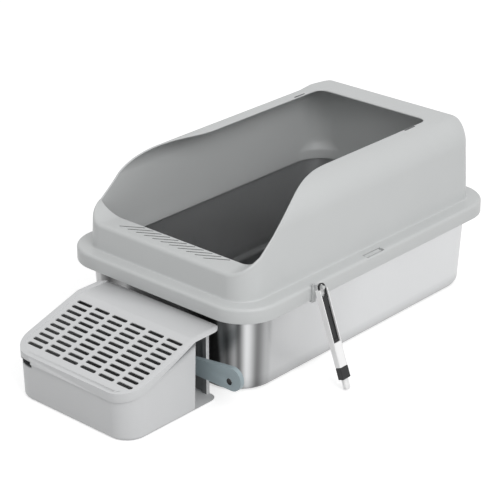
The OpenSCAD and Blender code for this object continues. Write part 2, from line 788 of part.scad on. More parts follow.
// A plate across the step at y, hw to either side, up to z
module cross_wall(y, hw, z) {
    translate([step_x - hw, y, step_t / 2]) cube([2 * hw, step_t, z - step_t / 2]);
}

// Opening under the lid by the front left corner, for a finger to lift the lid with
module finger_notch() {
    translate([step_x - step_hw + notch_end - notch_w, step_front_y - 10,
               skirt_front_z + notch_rise - notch_h])
        cube([notch_w, 22, notch_h]);
}

module step_bin() {
    wall_top = lid_t + lid_gap;
    post_w = 2 * knuckle_r;
    color([0.81, 0.82, 0.82])
    difference() {
        union() {
            // walls, cut off at the seam
            intersection() {
                difference() {
                    step_block(0);
                    step_block(-step_t, step_t);
                }
                translate([step_x - step_w, step_front_y - 50, -cut])
                    cube([2 * step_w, seam_y + step_t - step_front_y + 50, 2 * step_h]);
                below_lid(wall_top);
            }
            // floor and foot
            intersection() {
                step_block(0);
                translate([step_x - step_w, step_front_y - 50, -cut])
                    cube([2 * step_w, 2 * step_l, step_t + cut]);
            }
            // back wall of the bin
            intersection() {
                step_block(-0.5);
                cross_wall(seam_y, step_w, step_h);
                below_lid(wall_top);
            }
            // low wall behind the pocket, and the two hinge posts
            cross_wall(hinge_y + knuckle_r - step_t, post_hw - 1, hinge_z - 6);
            for (s = [-1, 1]) {
                x = s > 0 ? post_hw - post_t : -post_hw;
                translate([step_x + x, hinge_y - knuckle_r, step_t / 2])
                    cube([post_t, post_w, hinge_z - step_t / 2]);
                translate([step_x + x, hinge_y, hinge_z]) rod_x(0, post_t, knuckle_r);
            }
        }
        finger_notch();
        // pin holes in the posts
        translate([step_x, hinge_y, hinge_z])
            rod_x(-post_hw - cut, post_hw + cut, pin_r + pin_gap);
    }
}

// ---------------------------------------------------------------- step lid

// Outline of the lid's sunken field, inside its border
module field_outline() {
    y0 = step_front_y - step_h * step_lean + border_w;
    y1 = step_back_y + 30;
    r = step_front_r - border_w;
    translate([step_x, (y0 + y1) / 2])
        rounded_square([step_w + 2 * step_lean * lid_z(step_front_y) - 2 * border_w, y1 - y0], r);
}

// All the slots, cut square to the sloping plate
module lid_slots() {
    translate([step_x + slot_shift, crease_y, step_h]) rotate([lid_slope, 0, 0])
        for (row = [0:slot_rows - 1], col = [0:slot_cols - 1])
            translate([(col - (slot_cols - 1) / 2) * slot_col_pitch,
                       -slot_first - row * slot_row_pitch, 0])
                linear_extrude(6 * lid_t, center = true) stadium(lid_slot_l, lid_slot_w);
}

module step_lid() {
    lug_x = post_hw - post_t - knuckle_gap;
    color([0.82, 0.83, 0.83])
    difference() {
        union() {
            difference() {
                intersection() {
                    step_block(lid_proud);
                    below_lid(0);
                }
                // the space inside the skirt
                intersection() {
                    step_block(lid_gap);
                    below_lid(lid_t);
                }
                // nothing below the skirt
                below_lid(lid_t + lid_skirt_h);
                // no skirt behind the seam
                translate([step_x - step_w, seam_y, -cut]) cube([2 * step_w, step_l, lid_under + cut]);
            }
            // knuckles inside the posts
            for (s = [-1, 1]) {
                x = s > 0 ? lug_x - knuckle_l : -lug_x;
                translate([step_x + x, hinge_y, hinge_z]) rod_x(0, knuckle_l, knuckle_r);
                translate([step_x + x, hinge_y - knuckle_r, hinge_z])
                    cube([knuckle_l, 2 * knuckle_r, lid_under + 0.5 - hinge_z]);
            }
        }
        // the field sunk below the border
        difference() {
            translate([0, 0, -cut]) linear_extrude(2 * step_h) field_outline();
            below_lid(border_h);
        }
        lid_slots();
        finger_notch();
        translate([step_x, hinge_y, hinge_z])
            rod_x(-post_hw, post_hw, pin_r + pin_gap);
    }
}

module lid_hinge_pin() {
    head_t = 2;
    inner = post_hw - post_t - knuckle_l - 2 * knuckle_gap;
    translate([0, hinge_y, hinge_z]) {
        rod_x(inner, post_hw + head_t, pin_r);
        rod_x(post_hw + 0.1, post_hw + head_t, pin_r + 1.3);
    }
}

// ---------------------------------------------------------------- litter scoop

// The scoop stands on edge in the pocket: blade in the XZ plane, handle out to the right
module litter_scoop() {
    low_z = step_t + soft_gap;
    mid_z = low_z + blade_w / 2;
    end_r = grip_w / 2;
    end_x = step_x + step_hw + grip_out;      // furthest point of the handle
    blade_x = end_x - grip_l - blade_l;
    back_y = hinge_y - knuckle_r - 9;         // outer face of the sifting floor
    end_z = mid_z + 5.5;                      // the handle rises a little to its end
    hole_x = end_x - end_r - 4;
    hole_z = end_z - 5;
    slot_pitch = (blade_w - 12) / blade_slots;
    color([0.45, 0.50, 0.53])
    difference() {
        union() {
            // tray of the blade, its sides falling away to the lip
            difference() {
                translate([blade_x + blade_l / 2, back_y, mid_z]) rotate([90, 0, 0])
                    linear_extrude(blade_d) rounded_square([blade_l, blade_w], 12);
                translate([blade_x + blade_l / 2 - scoop_t - cut, back_y - scoop_t, mid_z])
                    rotate([90, 0, 0]) linear_extrude(blade_d)
                        rounded_square([blade_l + 2 * cut, blade_w - 2 * scoop_t], 10);
                translate([blade_x - cut, back_y, low_z - cut]) rotate([0, 0, -atan(blade_d / blade_l)])
                    translate([0, -2 * blade_d - 3, 0]) cube([0.9 * blade_l, 2 * blade_d, blade_w + 2 * cut]);
            }
            // handle, widening to its round end
            translate([0, back_y - 1, 0]) rotate([90, 0, 0]) linear_extrude(grip_t) {
                polygon([[end_x - grip_l - 8, mid_z - neck_w / 2 - 6],
                         [end_x - grip_l + 14, mid_z - neck_w / 2],
                         [end_x - end_r, end_z - end_r],
                         [end_x - end_r, end_z + end_r],
                         [end_x - grip_l + 14, mid_z + neck_w / 2],
                         [end_x - grip_l - 8, mid_z + neck_w / 2 + 6]]);
                translate([end_x - end_r, end_z]) circle(end_r);
            }
        }
        // slots between the bars
        for (i = [0:blade_slots - 1])
            translate([blade_x + blade_l / 2 - 4, back_y + cut,
                       mid_z + (i - (blade_slots - 1) / 2) * slot_pitch])
                rotate([90, 0, 0]) linear_extrude(scoop_t + 2 * cut)
                    stadium(blade_l - 34, blade_slot_w);
        // hanging hole
        translate([hole_x, back_y + cut, hole_z]) rotate([90, 0, 0])
            cylinder(h = 3 * grip_t, d = grip_hole_d);
    }
}

// ---------------------------------------------------------------- nodes

steel_tray();
enclosure();
color([0.76, 0.77, 0.78]) rim_clip();  // rim_clip_right
color([0.76, 0.77, 0.78]) on_side(-1) rim_clip();  // rim_clip_left
color([0.6, 0.6, 0.62]) rim_clip_pin();  // rim_clip_pin_right
color([0.6, 0.6, 0.62]) on_side(-1) rim_clip_pin();  // rim_clip_pin_left
tool_hook();
brush_sheath();
brush_handle();
brush_collar();
brush_head();
brush_bristles();
step_bin();
step_lid();
color([0.7, 0.7, 0.72]) translate([step_x, 0, 0]) lid_hinge_pin();  // lid_hinge_pin_right
color([0.7, 0.7, 0.72]) translate([step_x, 0, 0]) on_side(-1) lid_hinge_pin();  // lid_hinge_pin_left
litter_scoop();
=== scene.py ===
"""Litter box with a steel pan, a moulded enclosure and a step: its finished surfaces.

Lengths are in metres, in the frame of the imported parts: X across the box, -Y the front where the
step stands, Z up. Each piece is worked out in place, and its object stays at the origin.
"""

import json
import math

import bmesh
import bpy
import numpy as np
from mathutils import Euler, Matrix, Vector


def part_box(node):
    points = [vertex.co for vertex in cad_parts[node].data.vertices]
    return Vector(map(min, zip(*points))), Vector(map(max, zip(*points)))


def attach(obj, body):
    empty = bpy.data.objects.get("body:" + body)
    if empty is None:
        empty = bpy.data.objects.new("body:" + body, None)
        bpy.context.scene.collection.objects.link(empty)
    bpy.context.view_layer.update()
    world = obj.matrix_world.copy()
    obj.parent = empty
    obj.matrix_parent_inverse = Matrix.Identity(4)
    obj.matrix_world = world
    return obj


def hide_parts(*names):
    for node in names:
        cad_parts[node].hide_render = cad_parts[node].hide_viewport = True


bl_info = {
    "name": "Litter Box Surfaces",
    "version": (1, 0, 0),
    "blender": (4, 5, 0),
    "location": "View3D > Sidebar > Litter Box",
    "description": "Builds the finished surfaces of a litter box with a pan, a hood and a step",
    "category": "Object",
}

MM = 0.001

SHARP = 38  # degrees: edges of a made surface that turn more stay sharp
CREASE = 32  # degrees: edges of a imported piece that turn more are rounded
FLAT = 0.6  # degrees: packed triangles that turn less from each other are one face
WELD = 0.005 * MM  # corners of packed triangles that lie closer are one
FACING = 0.9  # cosine above which a face looks along a direction
SIDEWAYS = 0.35  # cosine below which it stands beside that direction
SLOT_MARGIN = 1.6 * MM  # between the top opening and the slots beside it
HOLE_WALL_REACH = 6 * MM  # radius round the middle of the scoop's hole that holds its wall

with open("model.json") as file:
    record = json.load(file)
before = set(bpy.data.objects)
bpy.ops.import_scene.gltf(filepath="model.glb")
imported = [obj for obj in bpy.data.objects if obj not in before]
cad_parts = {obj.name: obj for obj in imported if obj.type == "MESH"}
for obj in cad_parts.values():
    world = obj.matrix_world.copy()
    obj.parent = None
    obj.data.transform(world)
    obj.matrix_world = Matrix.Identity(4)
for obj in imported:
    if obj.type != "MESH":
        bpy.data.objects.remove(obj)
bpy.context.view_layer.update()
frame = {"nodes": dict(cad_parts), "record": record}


# ---------------------------------------------------------------- sizes and colours


def length(name, description, default, most=1.0):
    """A length in metres that a user can change."""
    return bpy.props.FloatProperty(
        name=name, description=description, default=default, min=0, max=most, unit="LENGTH"
    )


def angle(name, description, degrees):
    """An angle that a user can change, given in degrees."""
    return bpy.props.FloatProperty(
        name=name, description=description, default=math.radians(degrees), unit="ROTATION"
    )


def ratio(name, description, default):
    """A plain number that a user can change."""
    return bpy.props.FloatProperty(name=name, description=description, default=default, min=0)


def count(name, description, default):
    """A whole number that a user can change."""
    return bpy.props.IntProperty(name=name, description=description, default=default, min=1)


def paint(name, description, hex_code):
    """A colour that a user can change, given as sRGB hex."""
    return bpy.props.FloatVectorProperty(
        name=name, description=description, default=linear(hex_code), size=4, min=0, max=1,
        subtype="COLOR",
    )


def linear(hex_code):
    """sRGB hex to linear red, green, blue and an alpha of one."""
    parts = [int(hex_code[i : i + 2], 16) / 255 for i in (1, 3, 5)]
    return (*(c / 12.92 if c < 0.04045 else ((c + 0.055) / 1.055) ** 2.4 for c in parts), 1.0)


class PanSettings(bpy.types.PropertyGroup):
    """Sizes of the drawn steel pan."""

    width: length("Width", "Width of the pan's base", 352 * MM)
    depth: length("Length", "Length of the pan's base", 603 * MM)
    height: length("Height", "Height to the top of the rim", 156.3 * MM)
    corner: length("Corner radius", "Plan radius of the base's corners", 66 * MM)
    draft: angle("Draft", "Lean of the walls", 3.1)
    foot: length("Foot radius", "Radius where the walls meet the base", 12 * MM)
    sheet: length("Sheet", "Thickness of the steel", 1 * MM)
    rim_flat: length("Rim", "Flat width of the rim before its bead", 4 * MM)
    bead: length("Bead", "Diameter of the rolled bead", 4 * MM)


class EnclosureSettings(bpy.types.PropertyGroup):
    """Sizes of the moulded enclosure."""

    height: length("Height", "Height of the top above the floor", 300.5 * MM)
    wall: length("Wall", "Thickness of the moulded walls", 3 * MM)
    draft: angle("Draft", "Lean of the walls", 2.9)
    corner: length("Corner radius", "Plan radius of the walls' corners at their foot", 42 * MM)
    gap_side: length("Side room", "Room between the pan's wall and the side wall", 5.9 * MM)
    gap_end: length("End room", "Room between the pan's wall and the end wall", 11.4 * MM)
    lip_drop: length("Lip", "How far the wall reaches down inside the pan", 13.5 * MM)
    roll: length("Side roll", "Radius of the roll along the sides of the top", 46 * MM)
    roll_back: length("Back roll", "Radius of the roll along the back of the top", 20 * MM)
    opening: length("Opening", "Width of the top opening", 236 * MM)
    back_rim: length("Back rim", "Width of the top rim at the back", 68 * MM)
    opening_corner: length("Opening corners", "Radius of the opening's back corners", 17 * MM)
    skirt: length("Skirt", "Thickness of the flange and its skirt", 2.5 * MM)
    skirt_height: length("Skirt height", "Height of the flange with its skirt", 25 * MM)
    flange_corner: length("Flange corners", "Plan radius of the flange's corners", 67 * MM)
    flange_edge: length("Flange edge", "Radius along the flange's outer edge", 5 * MM)
    sill: length("Sill", "Height of the entry sill", 203 * MM)
    sill_depth: length("Sill depth", "Depth of the sill's ledge", 46.8 * MM)
    sill_roll: length("Sill roll", "Radius of the roll along the sill's front", 6 * MM)
    entry_corner: length("Entry corner", "Distance over which the sill turns into a side", 40 * MM)
    entry_rise: length("Entry rise", "Height over which the sill turns up into a side", 24 * MM)
    entry_turn: ratio("Entry turn", "How square that turn is, one being a plain arc", 1.25)
    sweep_start: length("Sweep start", "Where the sides start to drop", 41 * MM)
    sweep: length("Sweep", "Length over which the sides drop", 181.5 * MM)
    sweep_turn: ratio("Sweep turn", "How soon the sides rise, one being a plain curve", 0.85)
    slot: length("Top slots", "Length of the slots beside the opening", 28 * MM)
    slot_width: length("Top slot width", "Width of those slots", 3.4 * MM)
    slot_place: length("Top slot place", "How far behind the middle they are", 178 * MM)
    groove_width: length("Grooves", "Width of the grip grooves", 2.4 * MM)
    groove_pitch: length("Groove spacing", "Spacing of the grooves across their run", 9.5 * MM)
    groove_turn: angle("Groove slant", "Slant of the grip grooves", 31)
    groove_depth: length("Groove depth", "Depth of the grip grooves", 2.6 * MM)
    band: length("Groove band", "Length of the grooved band", 236 * MM)
    band_width: length("Groove band depth", "Depth of the grooved band", 22 * MM)
    band_place: length("Groove band place", "How far the band lies behind the front", 31.9 * MM)
    window: length("Clip window", "Length of each clip's window", 44 * MM)
    window_width: length("Clip window width", "Width of each clip's window", 11 * MM)
    clip_place: length("Clip place", "Distance of the clips in front of the middle", 9.3 * MM)


class BrushSettings(bpy.types.PropertyGroup):
    """Sizes of the brush's head and bristles."""

    lean: angle("Lean", "Lean of the brush in its place", 20)
    depth: length("Head depth", "Depth of the head that holds the bristles", 10.5 * MM)
    bristle: length("Bristles", "Length of the bristles", 19 * MM)
    tuft_width: length("Tuft width", "Width of the bristles", 13.5 * MM)
    tuft_depth: length("Tuft depth", "Depth of the bristles", 6.5 * MM)
    filament: length("Filament", "Thickness of a filament, drawn coarse enough to show", 0.9 * MM)
    columns: count("Columns", "Filaments across the head", 17)
    rows: count("Rows", "Filaments through the head", 8)
    splay: angle("Splay", "How far the outer filaments lean out", 5)
    recess: length("Recess", "How far the grip's matt recess lies below its front", 1.2 * MM)


class EdgeSettings(bpy.types.PropertyGroup):
    """Radii that the moulds leave along the edges."""

    moulded: length("Moulded edge", "Radius along an ordinary moulded edge", 0.5 * MM)
    lid: length("Lid edge", "Radius along the top edge of the step's lid", 2.2 * MM)
    scoop: length("Scoop edge", "Radius along the edges of the scoop's handle", 1.6 * MM)
    handle: length("Handle edge", "Radius along the brush handle's edges", 0.9 * MM)
    hook: length("Hook edge", "Radius along the edges of the brush's hook", 0.4 * MM)
    clip: length("Clip edge", "Radius along the edges of the rim clips", 0.35 * MM)
    ear: length("Ear edge", "Radius along the edges of the ears that hold the clips", 0.3 * MM)


class FinishSettings(bpy.types.PropertyGroup):
    """Colours of the materials."""

    shell: paint("Shell grey", "Moulded light grey polypropylene", "#c9cbcb")
    step: paint("Step grey", "Moulded light grey polypropylene of the step", "#d3d4d5")
    steel: paint("Steel", "Stainless steel", "#ecedee")
    white: paint("White", "Moulded white plastic", "#f8f8f8")
    black: paint("Black", "Moulded black plastic", "#0f1012")
    grip: paint("Grip", "Grained black plastic of the grip's recess", "#222325")
    # a darker grey, painted shade for the grooves, the top slots, the bin's inside and the lid's
    # underside
    inner: paint("Inner faces", "Grey polypropylene of inner faces and grooves", "#7b7c7d")
    slate: paint("Slate", "Moulded slate grey nylon of the scoop", "#99a7ac")
    bristle: paint("Bristle", "White nylon filament", "#ffffff")
    pin: paint("Pin steel", "Turned steel of the pins", "#b4b5b8")


class StageSettings(bpy.types.PropertyGroup):
    """Camera, lamp and dome."""

    camera: bpy.props.FloatVectorProperty(
        name="Camera", description="Place of the camera", default=(1.9004, -2.2046, 1.4196),
        subtype="TRANSLATION", unit="LENGTH",
    )
    down: angle("Camera tilt", "How far the camera looks down", 24.387)
    turn: angle("Camera turn", "How far the camera is turned from facing the back", 41.904)
    lens: bpy.props.FloatProperty(
        name="Lens", description="Focal length in mm", default=135.98, unit="CAMERA"
    )
    key: ratio("Key", "Power of the large lamp, in watts", 36)
    zenith: ratio("Zenith", "Strength of the white dome overhead", 0.8)
    horizon: ratio("Horizon", "Strength of the white dome at the horizon", 0.42)
    glow: ratio("Glow", "How much the floor is lifted towards white where it is seen", 0.62)


# ---------------------------------------------------------------- mesh helpers


def patches(rows, columns, closed_rows=False, closed_columns=False, first=0):
    """Four-sided faces between neighbouring rows and columns of a grid. Point (i, j) has the
    number first + i * columns + j, and a closed direction joins its last line to its first."""
    i = np.arange(rows if closed_rows else rows - 1)[:, None]
    j = np.arange(columns if closed_columns else columns - 1)[None, :]
    up, along = (i + 1) % rows, (j + 1) % columns
    corners = [i * columns + j, i * columns + along, up * columns + along, up * columns + j]
    return first + np.stack(np.broadcast_arrays(*corners), -1).reshape(-1, 4)


def coordinates(mesh):
    """Places of a mesh's vertices, one row each."""
    place = np.zeros(len(mesh.vertices) * 3)
    mesh.vertices.foreach_get("co", place)
    return place.reshape(-1, 3)


def signed_volume(mesh):
    """Six times the volume inside a closed mesh, positive where its faces point outwards: the sum
    of the triple product of each triangle's corners."""
    mesh.calc_loop_triangles()
    corner = np.zeros(len(mesh.loop_triangles) * 3, np.int32)
    mesh.loop_triangles.foreach_get("vertices", corner)
    a, b, c = coordinates(mesh)[corner].reshape(-1, 3, 3).transpose(1, 0, 2)
    return float(np.einsum("ij,ij->", a, np.cross(b, c)))


def smooth_faces(mesh, sharp=SHARP):
    """Shades a mesh smooth, except along edges that turn more than sharp degrees."""
    mesh.polygons.foreach_set("use_smooth", np.ones(len(mesh.polygons), bool))
    mesh.set_sharp_from_angle(angle=math.radians(sharp))


def linked(name, data):
    """A new object at the origin of the scene."""
    made = bpy.data.objects.new(name, data)
    bpy.context.scene.collection.objects.link(made)
    return made


def make_piece(name, points, faces, sharp=SHARP):
    """A new piece from faces and a grid of points of any shape whose last axis is x, y and z. A
    closed mesh that came out inside out is turned round."""
    mesh = bpy.data.meshes.new(name)
    mesh.from_pydata(np.reshape(points, (-1, 3)).tolist(), [], [list(map(int, f)) for f in faces])
    if signed_volume(mesh) < 0:
        mesh.flip_normals()
    smooth_faces(mesh, sharp)
    mesh.update()
    return linked(name, mesh)


def cut_away(piece, cutter):
    """Takes the cutter's space out of the piece, then removes the cutter."""
    cut = piece.modifiers.new("Cut", "BOOLEAN")
    cut.operation, cut.solver, cut.object = "DIFFERENCE", "EXACT", cutter
    graph = bpy.context.evaluated_depsgraph_get()
    mesh = bpy.data.meshes.new_from_object(piece.evaluated_get(graph))
    piece.modifiers.remove(cut)
    old, piece.data = piece.data, mesh
    mesh.name = piece.name
    bpy.data.meshes.remove(old)
    bpy.data.objects.remove(cutter)
    smooth_faces(mesh)


def prisms(name, outlines, low, high):
    """Upright prisms in one mesh: each outline, points by two, is drawn up from the height low to
    the height high and closed by a flat face at either end."""
    points, faces, first = [], [], 0
    for outline in outlines:
        n = len(outline)
        ring = np.column_stack([outline, np.zeros(n)])
        points.append(np.vstack([ring + [0, 0, low], ring + [0, 0, high]]))
        faces += [*patches(2, n, closed_columns=True, first=first)]
        faces += [range(first + n - 1, first - 1, -1), range(first + n, first + 2 * n)]
        first += 2 * n
    return make_piece(name, np.vstack(points), faces)


def rectangle(side, x0, x1, y0, y1):
    """Outline of a rectangle on the right of the box, or mirrored to its left where side is -1."""
    return np.array([[side * x0, y0], [side * x1, y0], [side * x1, y1], [side * x0, y1]])[::side]


def stadium(long, wide, steps=8):
    """Outline of a slot with round ends, centred, its long side along X: half turns of radius
    wide / 2 round two centres that lie long - wide apart."""
    turn = np.radians(np.linspace(-90, 90, steps + 1))
    end = np.column_stack([np.cos(turn), np.sin(turn)]) * wide / 2
    shift = np.array([(long - wide) / 2, 0])
    return np.vstack([end + shift, -end - shift])


def placed(outline, middle, degrees=0.0):
    """A flat outline turned by an angle in degrees and moved to its middle."""
    c, s = math.cos(math.radians(degrees)), math.sin(math.radians(degrees))
    return outline @ np.array([[c, s], [-s, c]]) + np.asarray(middle)


def rounded_edges(piece, width):
    """Rounds every edge that turns more than CREASE degrees, as a mould does."""
    bevel = piece.modifiers.new("Moulded edges", "BEVEL")
    bevel.width, bevel.segments, bevel.limit_method = width, 2, "ANGLE"
    bevel.angle_limit, bevel.harden_normals = math.radians(CREASE), True
    bevel.use_clamp_overlap, bevel.miter_outer = True, "MITER_ARC"


def softened(name, packed, body, width, material, slot, crest=None, radius=0.0):
    """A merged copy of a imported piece, finished in its place, whose edges are rounded by width.
    crest looks at the two faces at an edge and picks those that get the larger radius first."""
    mesh = frame["nodes"][packed].data.copy()
    mesh.name = name
    mesh.materials.clear()
    work = bmesh.new()
    work.from_mesh(mesh)
    bmesh.ops.remove_doubles(work, verts=work.verts, dist=WELD)
    bmesh.ops.dissolve_limit(
        work, angle_limit=math.radians(FLAT), verts=work.verts, edges=work.edges,
        delimit={"NORMAL"},
    )
    if crest:
        picked = [e for e in work.edges if len(e.link_faces) == 2 and crest(*e.link_faces)]
        bmesh.ops.bevel(
            work, geom=picked, offset=radius, segments=5, profile=0.5, affect="EDGES",
            clamp_overlap=True,
        )
    work.to_mesh(mesh)
    work.free()
    smooth_faces(mesh, CREASE)
    piece = linked(name, mesh)
    rounded_edges(piece, width)
    settle(piece, body, material, slot, packed)
    return piece


def outline_edge(way, depth):
    """Picks edges where a face that looks along the unit direction way, or against it, meets a
    side that measures at least depth along it."""
    def crest(*faces):
        for face, side in (faces, faces[::-1]):
            if abs(face.normal.dot(way)) > FACING and abs(side.normal.dot(way)) < SIDEWAYS:
                reach = [v.co.dot(way) for v in side.verts]
                return max(reach) - min(reach) >= depth
        return False

    return crest


def settle(piece, body, material, slot, *nodes):
    """Puts a piece on its body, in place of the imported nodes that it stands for, and dresses it."""
    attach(piece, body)
    if nodes:
        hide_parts(*nodes)
    dress(piece, material)


def dress(piece, material):
    """Gives a piece its material."""
    piece.data.materials.clear()
    piece.data.materials.append(material)


def second_material(piece, material, picks):
    """Gives a second material to the faces that picks chooses by their centres and normals."""
    mesh = piece.data
    mesh.materials.append(material)
    centres, normals = np.zeros((2, len(mesh.polygons) * 3))
    mesh.polygons.foreach_get("center", centres)
    mesh.polygons.foreach_get("normal", normals)
    chosen = picks(centres.reshape(-1, 3), normals.reshape(-1, 3))
    mesh.polygons.foreach_set("material_index", chosen.astype(np.int32))


def unit(rows):
    """Each row scaled to a length of one."""
    return rows / np.linalg.norm(rows, axis=-1, keepdims=True)


def smooth(share):
    """Rises from 0 to 1 with level ends: 3 u squared less 2 u cubed."""
    u = np.clip(share, 0, 1)
    return u * u * (3 - 2 * u)


# ---------------------------------------------------------------- materials

WHITE = (1, 1, 1, 1)
FLOW = 90 * MM  # breadth of the clouds that the melt leaves in a moulding
GRAIN, COARSE_GRAIN = 0.8 * MM, 1.2 * MM  # pits of a mould, finer and rougher
BRUSHING = (1.5 * MM, 1.5 * MM, 60 * MM)  # the steel's lines: spacing both ways, and length
STRETCH = (120 * MM, 120 * MM, 900 * MM)  # broad waves in the drawn sheet
TOOL_MARKS = 0.5 * MM  # spacing of the marks on a turned pin, as they are drawn
STRAND = 0.6 * MM  # over which a filament's grey changes

# The pan's upright streaks, painted reflections: level by the share of a corner's turn, from the
# pan's end to its side
PAINTED_REFLECTIONS = (
    (0.0, 0.07), (0.14, 0.08), (0.205, 0.42), (0.29, 0.14), (0.4, 0.44),
    (0.46, 0.22), (0.58, 1.0), (0.74, 0.27), (0.9, 0.62), (1.0, 0.74),
)
# Their strength across the pan, from STREAK_REACH left of its middle to as far on its right
STREAK_REACH = 180 * MM
STREAK_STRENGTH = ((0.08, 0.25), (0.21, 1.0), (0.33, 0.2), (0.64, 0.2), (0.78, 1.0))
STREAK_BACK = 0.15  # what is left of them at the pan's back
BETWEEN_STREAKS = (0.8, 0.8, 0.8, 1)
# painted shade: the pan is darker at its front corners than at its back
FRONT_SHADE_LEVEL = ((0.0, 0.82), (0.5, 1.0))  # level from the front corners to the back ones
# Painted shade over the foot: level from the floor up to FOOT_HEIGHT
FOOT_HEIGHT = 26 * MM
FOOT_SHADE_LEVEL = ((0.0, 0.15), (0.12, 0.5), (0.35, 0.8), (1.0, 1.0))


def feed(tree, made, inputs):
    """Gives a node's inputs, by name or number, another node's output or a value."""
    for key, source in inputs.items():
        if isinstance(source, bpy.types.NodeSocket):
            tree.links.new(source, made.inputs[key])
        else:
            made.inputs[key].default_value = source


def node(tree, kind, inputs=None, stops=(), ease="LINEAR", **settings):
    """Adds a shader node with its properties, what its inputs take and, on a ramp, its stops, each
    a place and a grey level."""
    made = tree.nodes.new(kind)
    for key, value in settings.items():
        setattr(made, key, value)
    feed(tree, made, inputs or {})
    if stops:
        made.color_ramp.interpolation = ease
        elements = made.color_ramp.elements
        while len(elements) < len(stops):
            elements.new(0.5)
        for element, (place, level) in zip(elements, stops):
            element.position, element.color = place, (level, level, level, 1)
    return made


def start(name):
    """An empty node material with its shader and output, and the Object coordinates."""
    material = bpy.data.materials.new(name)
    material.use_nodes = True
    tree = material.node_tree
    tree.nodes.clear()
    shader = node(tree, "ShaderNodeBsdfPrincipled")
    node(tree, "ShaderNodeOutputMaterial", {"Surface": shader.outputs["BSDF"]})
    place = node(tree, "ShaderNodeTexCoord").outputs["Object"]
    return material, tree, shader, place


def product(tree, *colours):
    """Several colours multiplied, the last two first."""
    total = colours[-1]
    for colour in colours[-2::-1]:
        total = node(
            tree, "ShaderNodeMix", {0: 1, 6: colour, 7: total}, data_type="RGBA",
            blend_type="MULTIPLY",
        ).outputs[2]
    return total


def shade(tree, factor, colour, low, high):
    """A colour that is multiplied by a grey from low to high as the factor goes from 0 to 1."""
    level = node(tree, "ShaderNodeMapRange", {"Value": factor, "To Min": low, "To Max": high})
    return product(tree, colour, level.outputs["Result"])


def grained(tree, shader, pattern, low, high, strength, depth):
    """Lets a pattern set the shader's roughness, from low to high, and raise its surface."""
    rough = node(tree, "ShaderNodeMapRange", {"Value": pattern, "To Min": low, "To Max": high})
    bump = node(
        tree, "ShaderNodeBump", {"Height": pattern, "Strength": strength, "Distance": depth})
    feed(tree, shader, {
        "Roughness": rough.outputs["Result"], "Normal": bump.outputs["Normal"]})


def moulded_plastic(name, colour, roughness, grain=GRAIN, cloud=0.02):
    """Injection-moulded plastic from a spark-eroded mould: an even, soft sheen over a fine grain,
    with faint clouds where the melt flowed. The real pits are about 0.1 mm across and are drawn
    coarser, at grain, to show."""
    material, tree, shader, place = start(name)
    flow = node(tree, "ShaderNodeTexNoise", {"Vector": place, "Scale": 1 / FLOW, "Detail": 3})
    pits = node(tree, "ShaderNodeTexNoise", {"Vector": place, "Scale": 1 / grain, "Detail": 4})
    grained(tree, shader, pits.outputs["Fac"], roughness - 0.06, roughness + 0.06,
            strength=0.25, depth=0.06 * MM)
    feed(tree, shader, {
        "Base Color": shade(tree, flow.outputs["Fac"], colour, 1 - cloud, 1 + cloud),
        "IOR": 1.49,
    })
    return material


def stretched_noise(tree, place, size, detail):
    """Noise whose features measure size along each axis."""
    scaled = node(
        tree, "ShaderNodeMapping", {"Vector": place, "Scale": tuple(1 / s for s in size)})
    noise = node(tree, "ShaderNodeTexNoise", {
        "Vector": scaled.outputs["Vector"], "Scale": 1, "Detail": detail})
    return noise.outputs["Fac"]


def painted_corner_reflections(tree, along, turn, x):
    """Painted reflections: upright light and dark streaks round the pan's corners. The left side, the
    middle of the front and the back catch only a faint copy of them."""
    streaks = node(tree, "ShaderNodeValToRGB", {"Fac": turn}, PAINTED_REFLECTIONS, "EASE")
    across = node(tree, "ShaderNodeMapRange", {
        "Value": x, "From Min": -STREAK_REACH, "From Max": STREAK_REACH})
    sideways = node(
        tree, "ShaderNodeValToRGB", {"Fac": across.outputs["Result"]}, STREAK_STRENGTH)
    fading = node(
        tree, "ShaderNodeMapRange", {"Value": along, "To Min": 1.0, "To Max": STREAK_BACK})
    strength = node(
        tree, "ShaderNodeMath", {0: sideways.outputs["Color"], 1: fading.outputs["Result"]},
        operation="MULTIPLY")
    marked = node(
        tree, "ShaderNodeMix",
        {0: strength.outputs["Value"], 6: BETWEEN_STREAKS, 7: streaks.outputs["Color"]},
        data_type="RGBA")
    return marked.outputs[2]


def drawn_steel(name, colour):
    """Deep-drawn stainless steel with a satin finish. Painted reflections make upright light and dark
    streaks round the corners, and painted shade darkens the front corners and the foot.
    The UV map gives how far back along the pan a point lies, and the share of a corner's turn.
    The brushing lines are 0.4 mm apart and are drawn 1.5 mm apart to show."""
    material, tree, shader, place = start(name)
    wall = node(tree, "ShaderNodeUVMap", uv_map="wall")
    wall = node(tree, "ShaderNodeSeparateXYZ", {"Vector": wall.outputs["UV"]})
    along, turn = wall.outputs["X"], wall.outputs["Y"]
    axes = node(tree, "ShaderNodeSeparateXYZ", {"Vector": place})
    lines = stretched_noise(tree, place, BRUSHING, 3)
    waves = stretched_noise(tree, place, STRETCH, 2)
    # painted shade: darker towards the front corners, and towards the floor over the foot
    back = node(tree, "ShaderNodeValToRGB", {"Fac": along}, FRONT_SHADE_LEVEL)
    height = node(tree, "ShaderNodeMapRange", {"Value": axes.outputs["Z"], "From Max": FOOT_HEIGHT})
    foot = node(tree, "ShaderNodeValToRGB", {"Fac": height.outputs["Result"]}, FOOT_SHADE_LEVEL)
    grained(tree, shader, lines, 0.26, 0.36, strength=0.06, depth=0.05 * MM)
    feed(tree, shader, {
        "Base Color": product(
            tree,
            painted_corner_reflections(tree, along, turn, axes.outputs["X"]),
            shade(tree, lines, WHITE, 0.96, 1.0),
            shade(tree, waves, colour, 0.96, 1.02),
            back.outputs["Color"],
            foot.outputs["Color"],
        ),
        "Metallic": 0.85,
    })
    return material


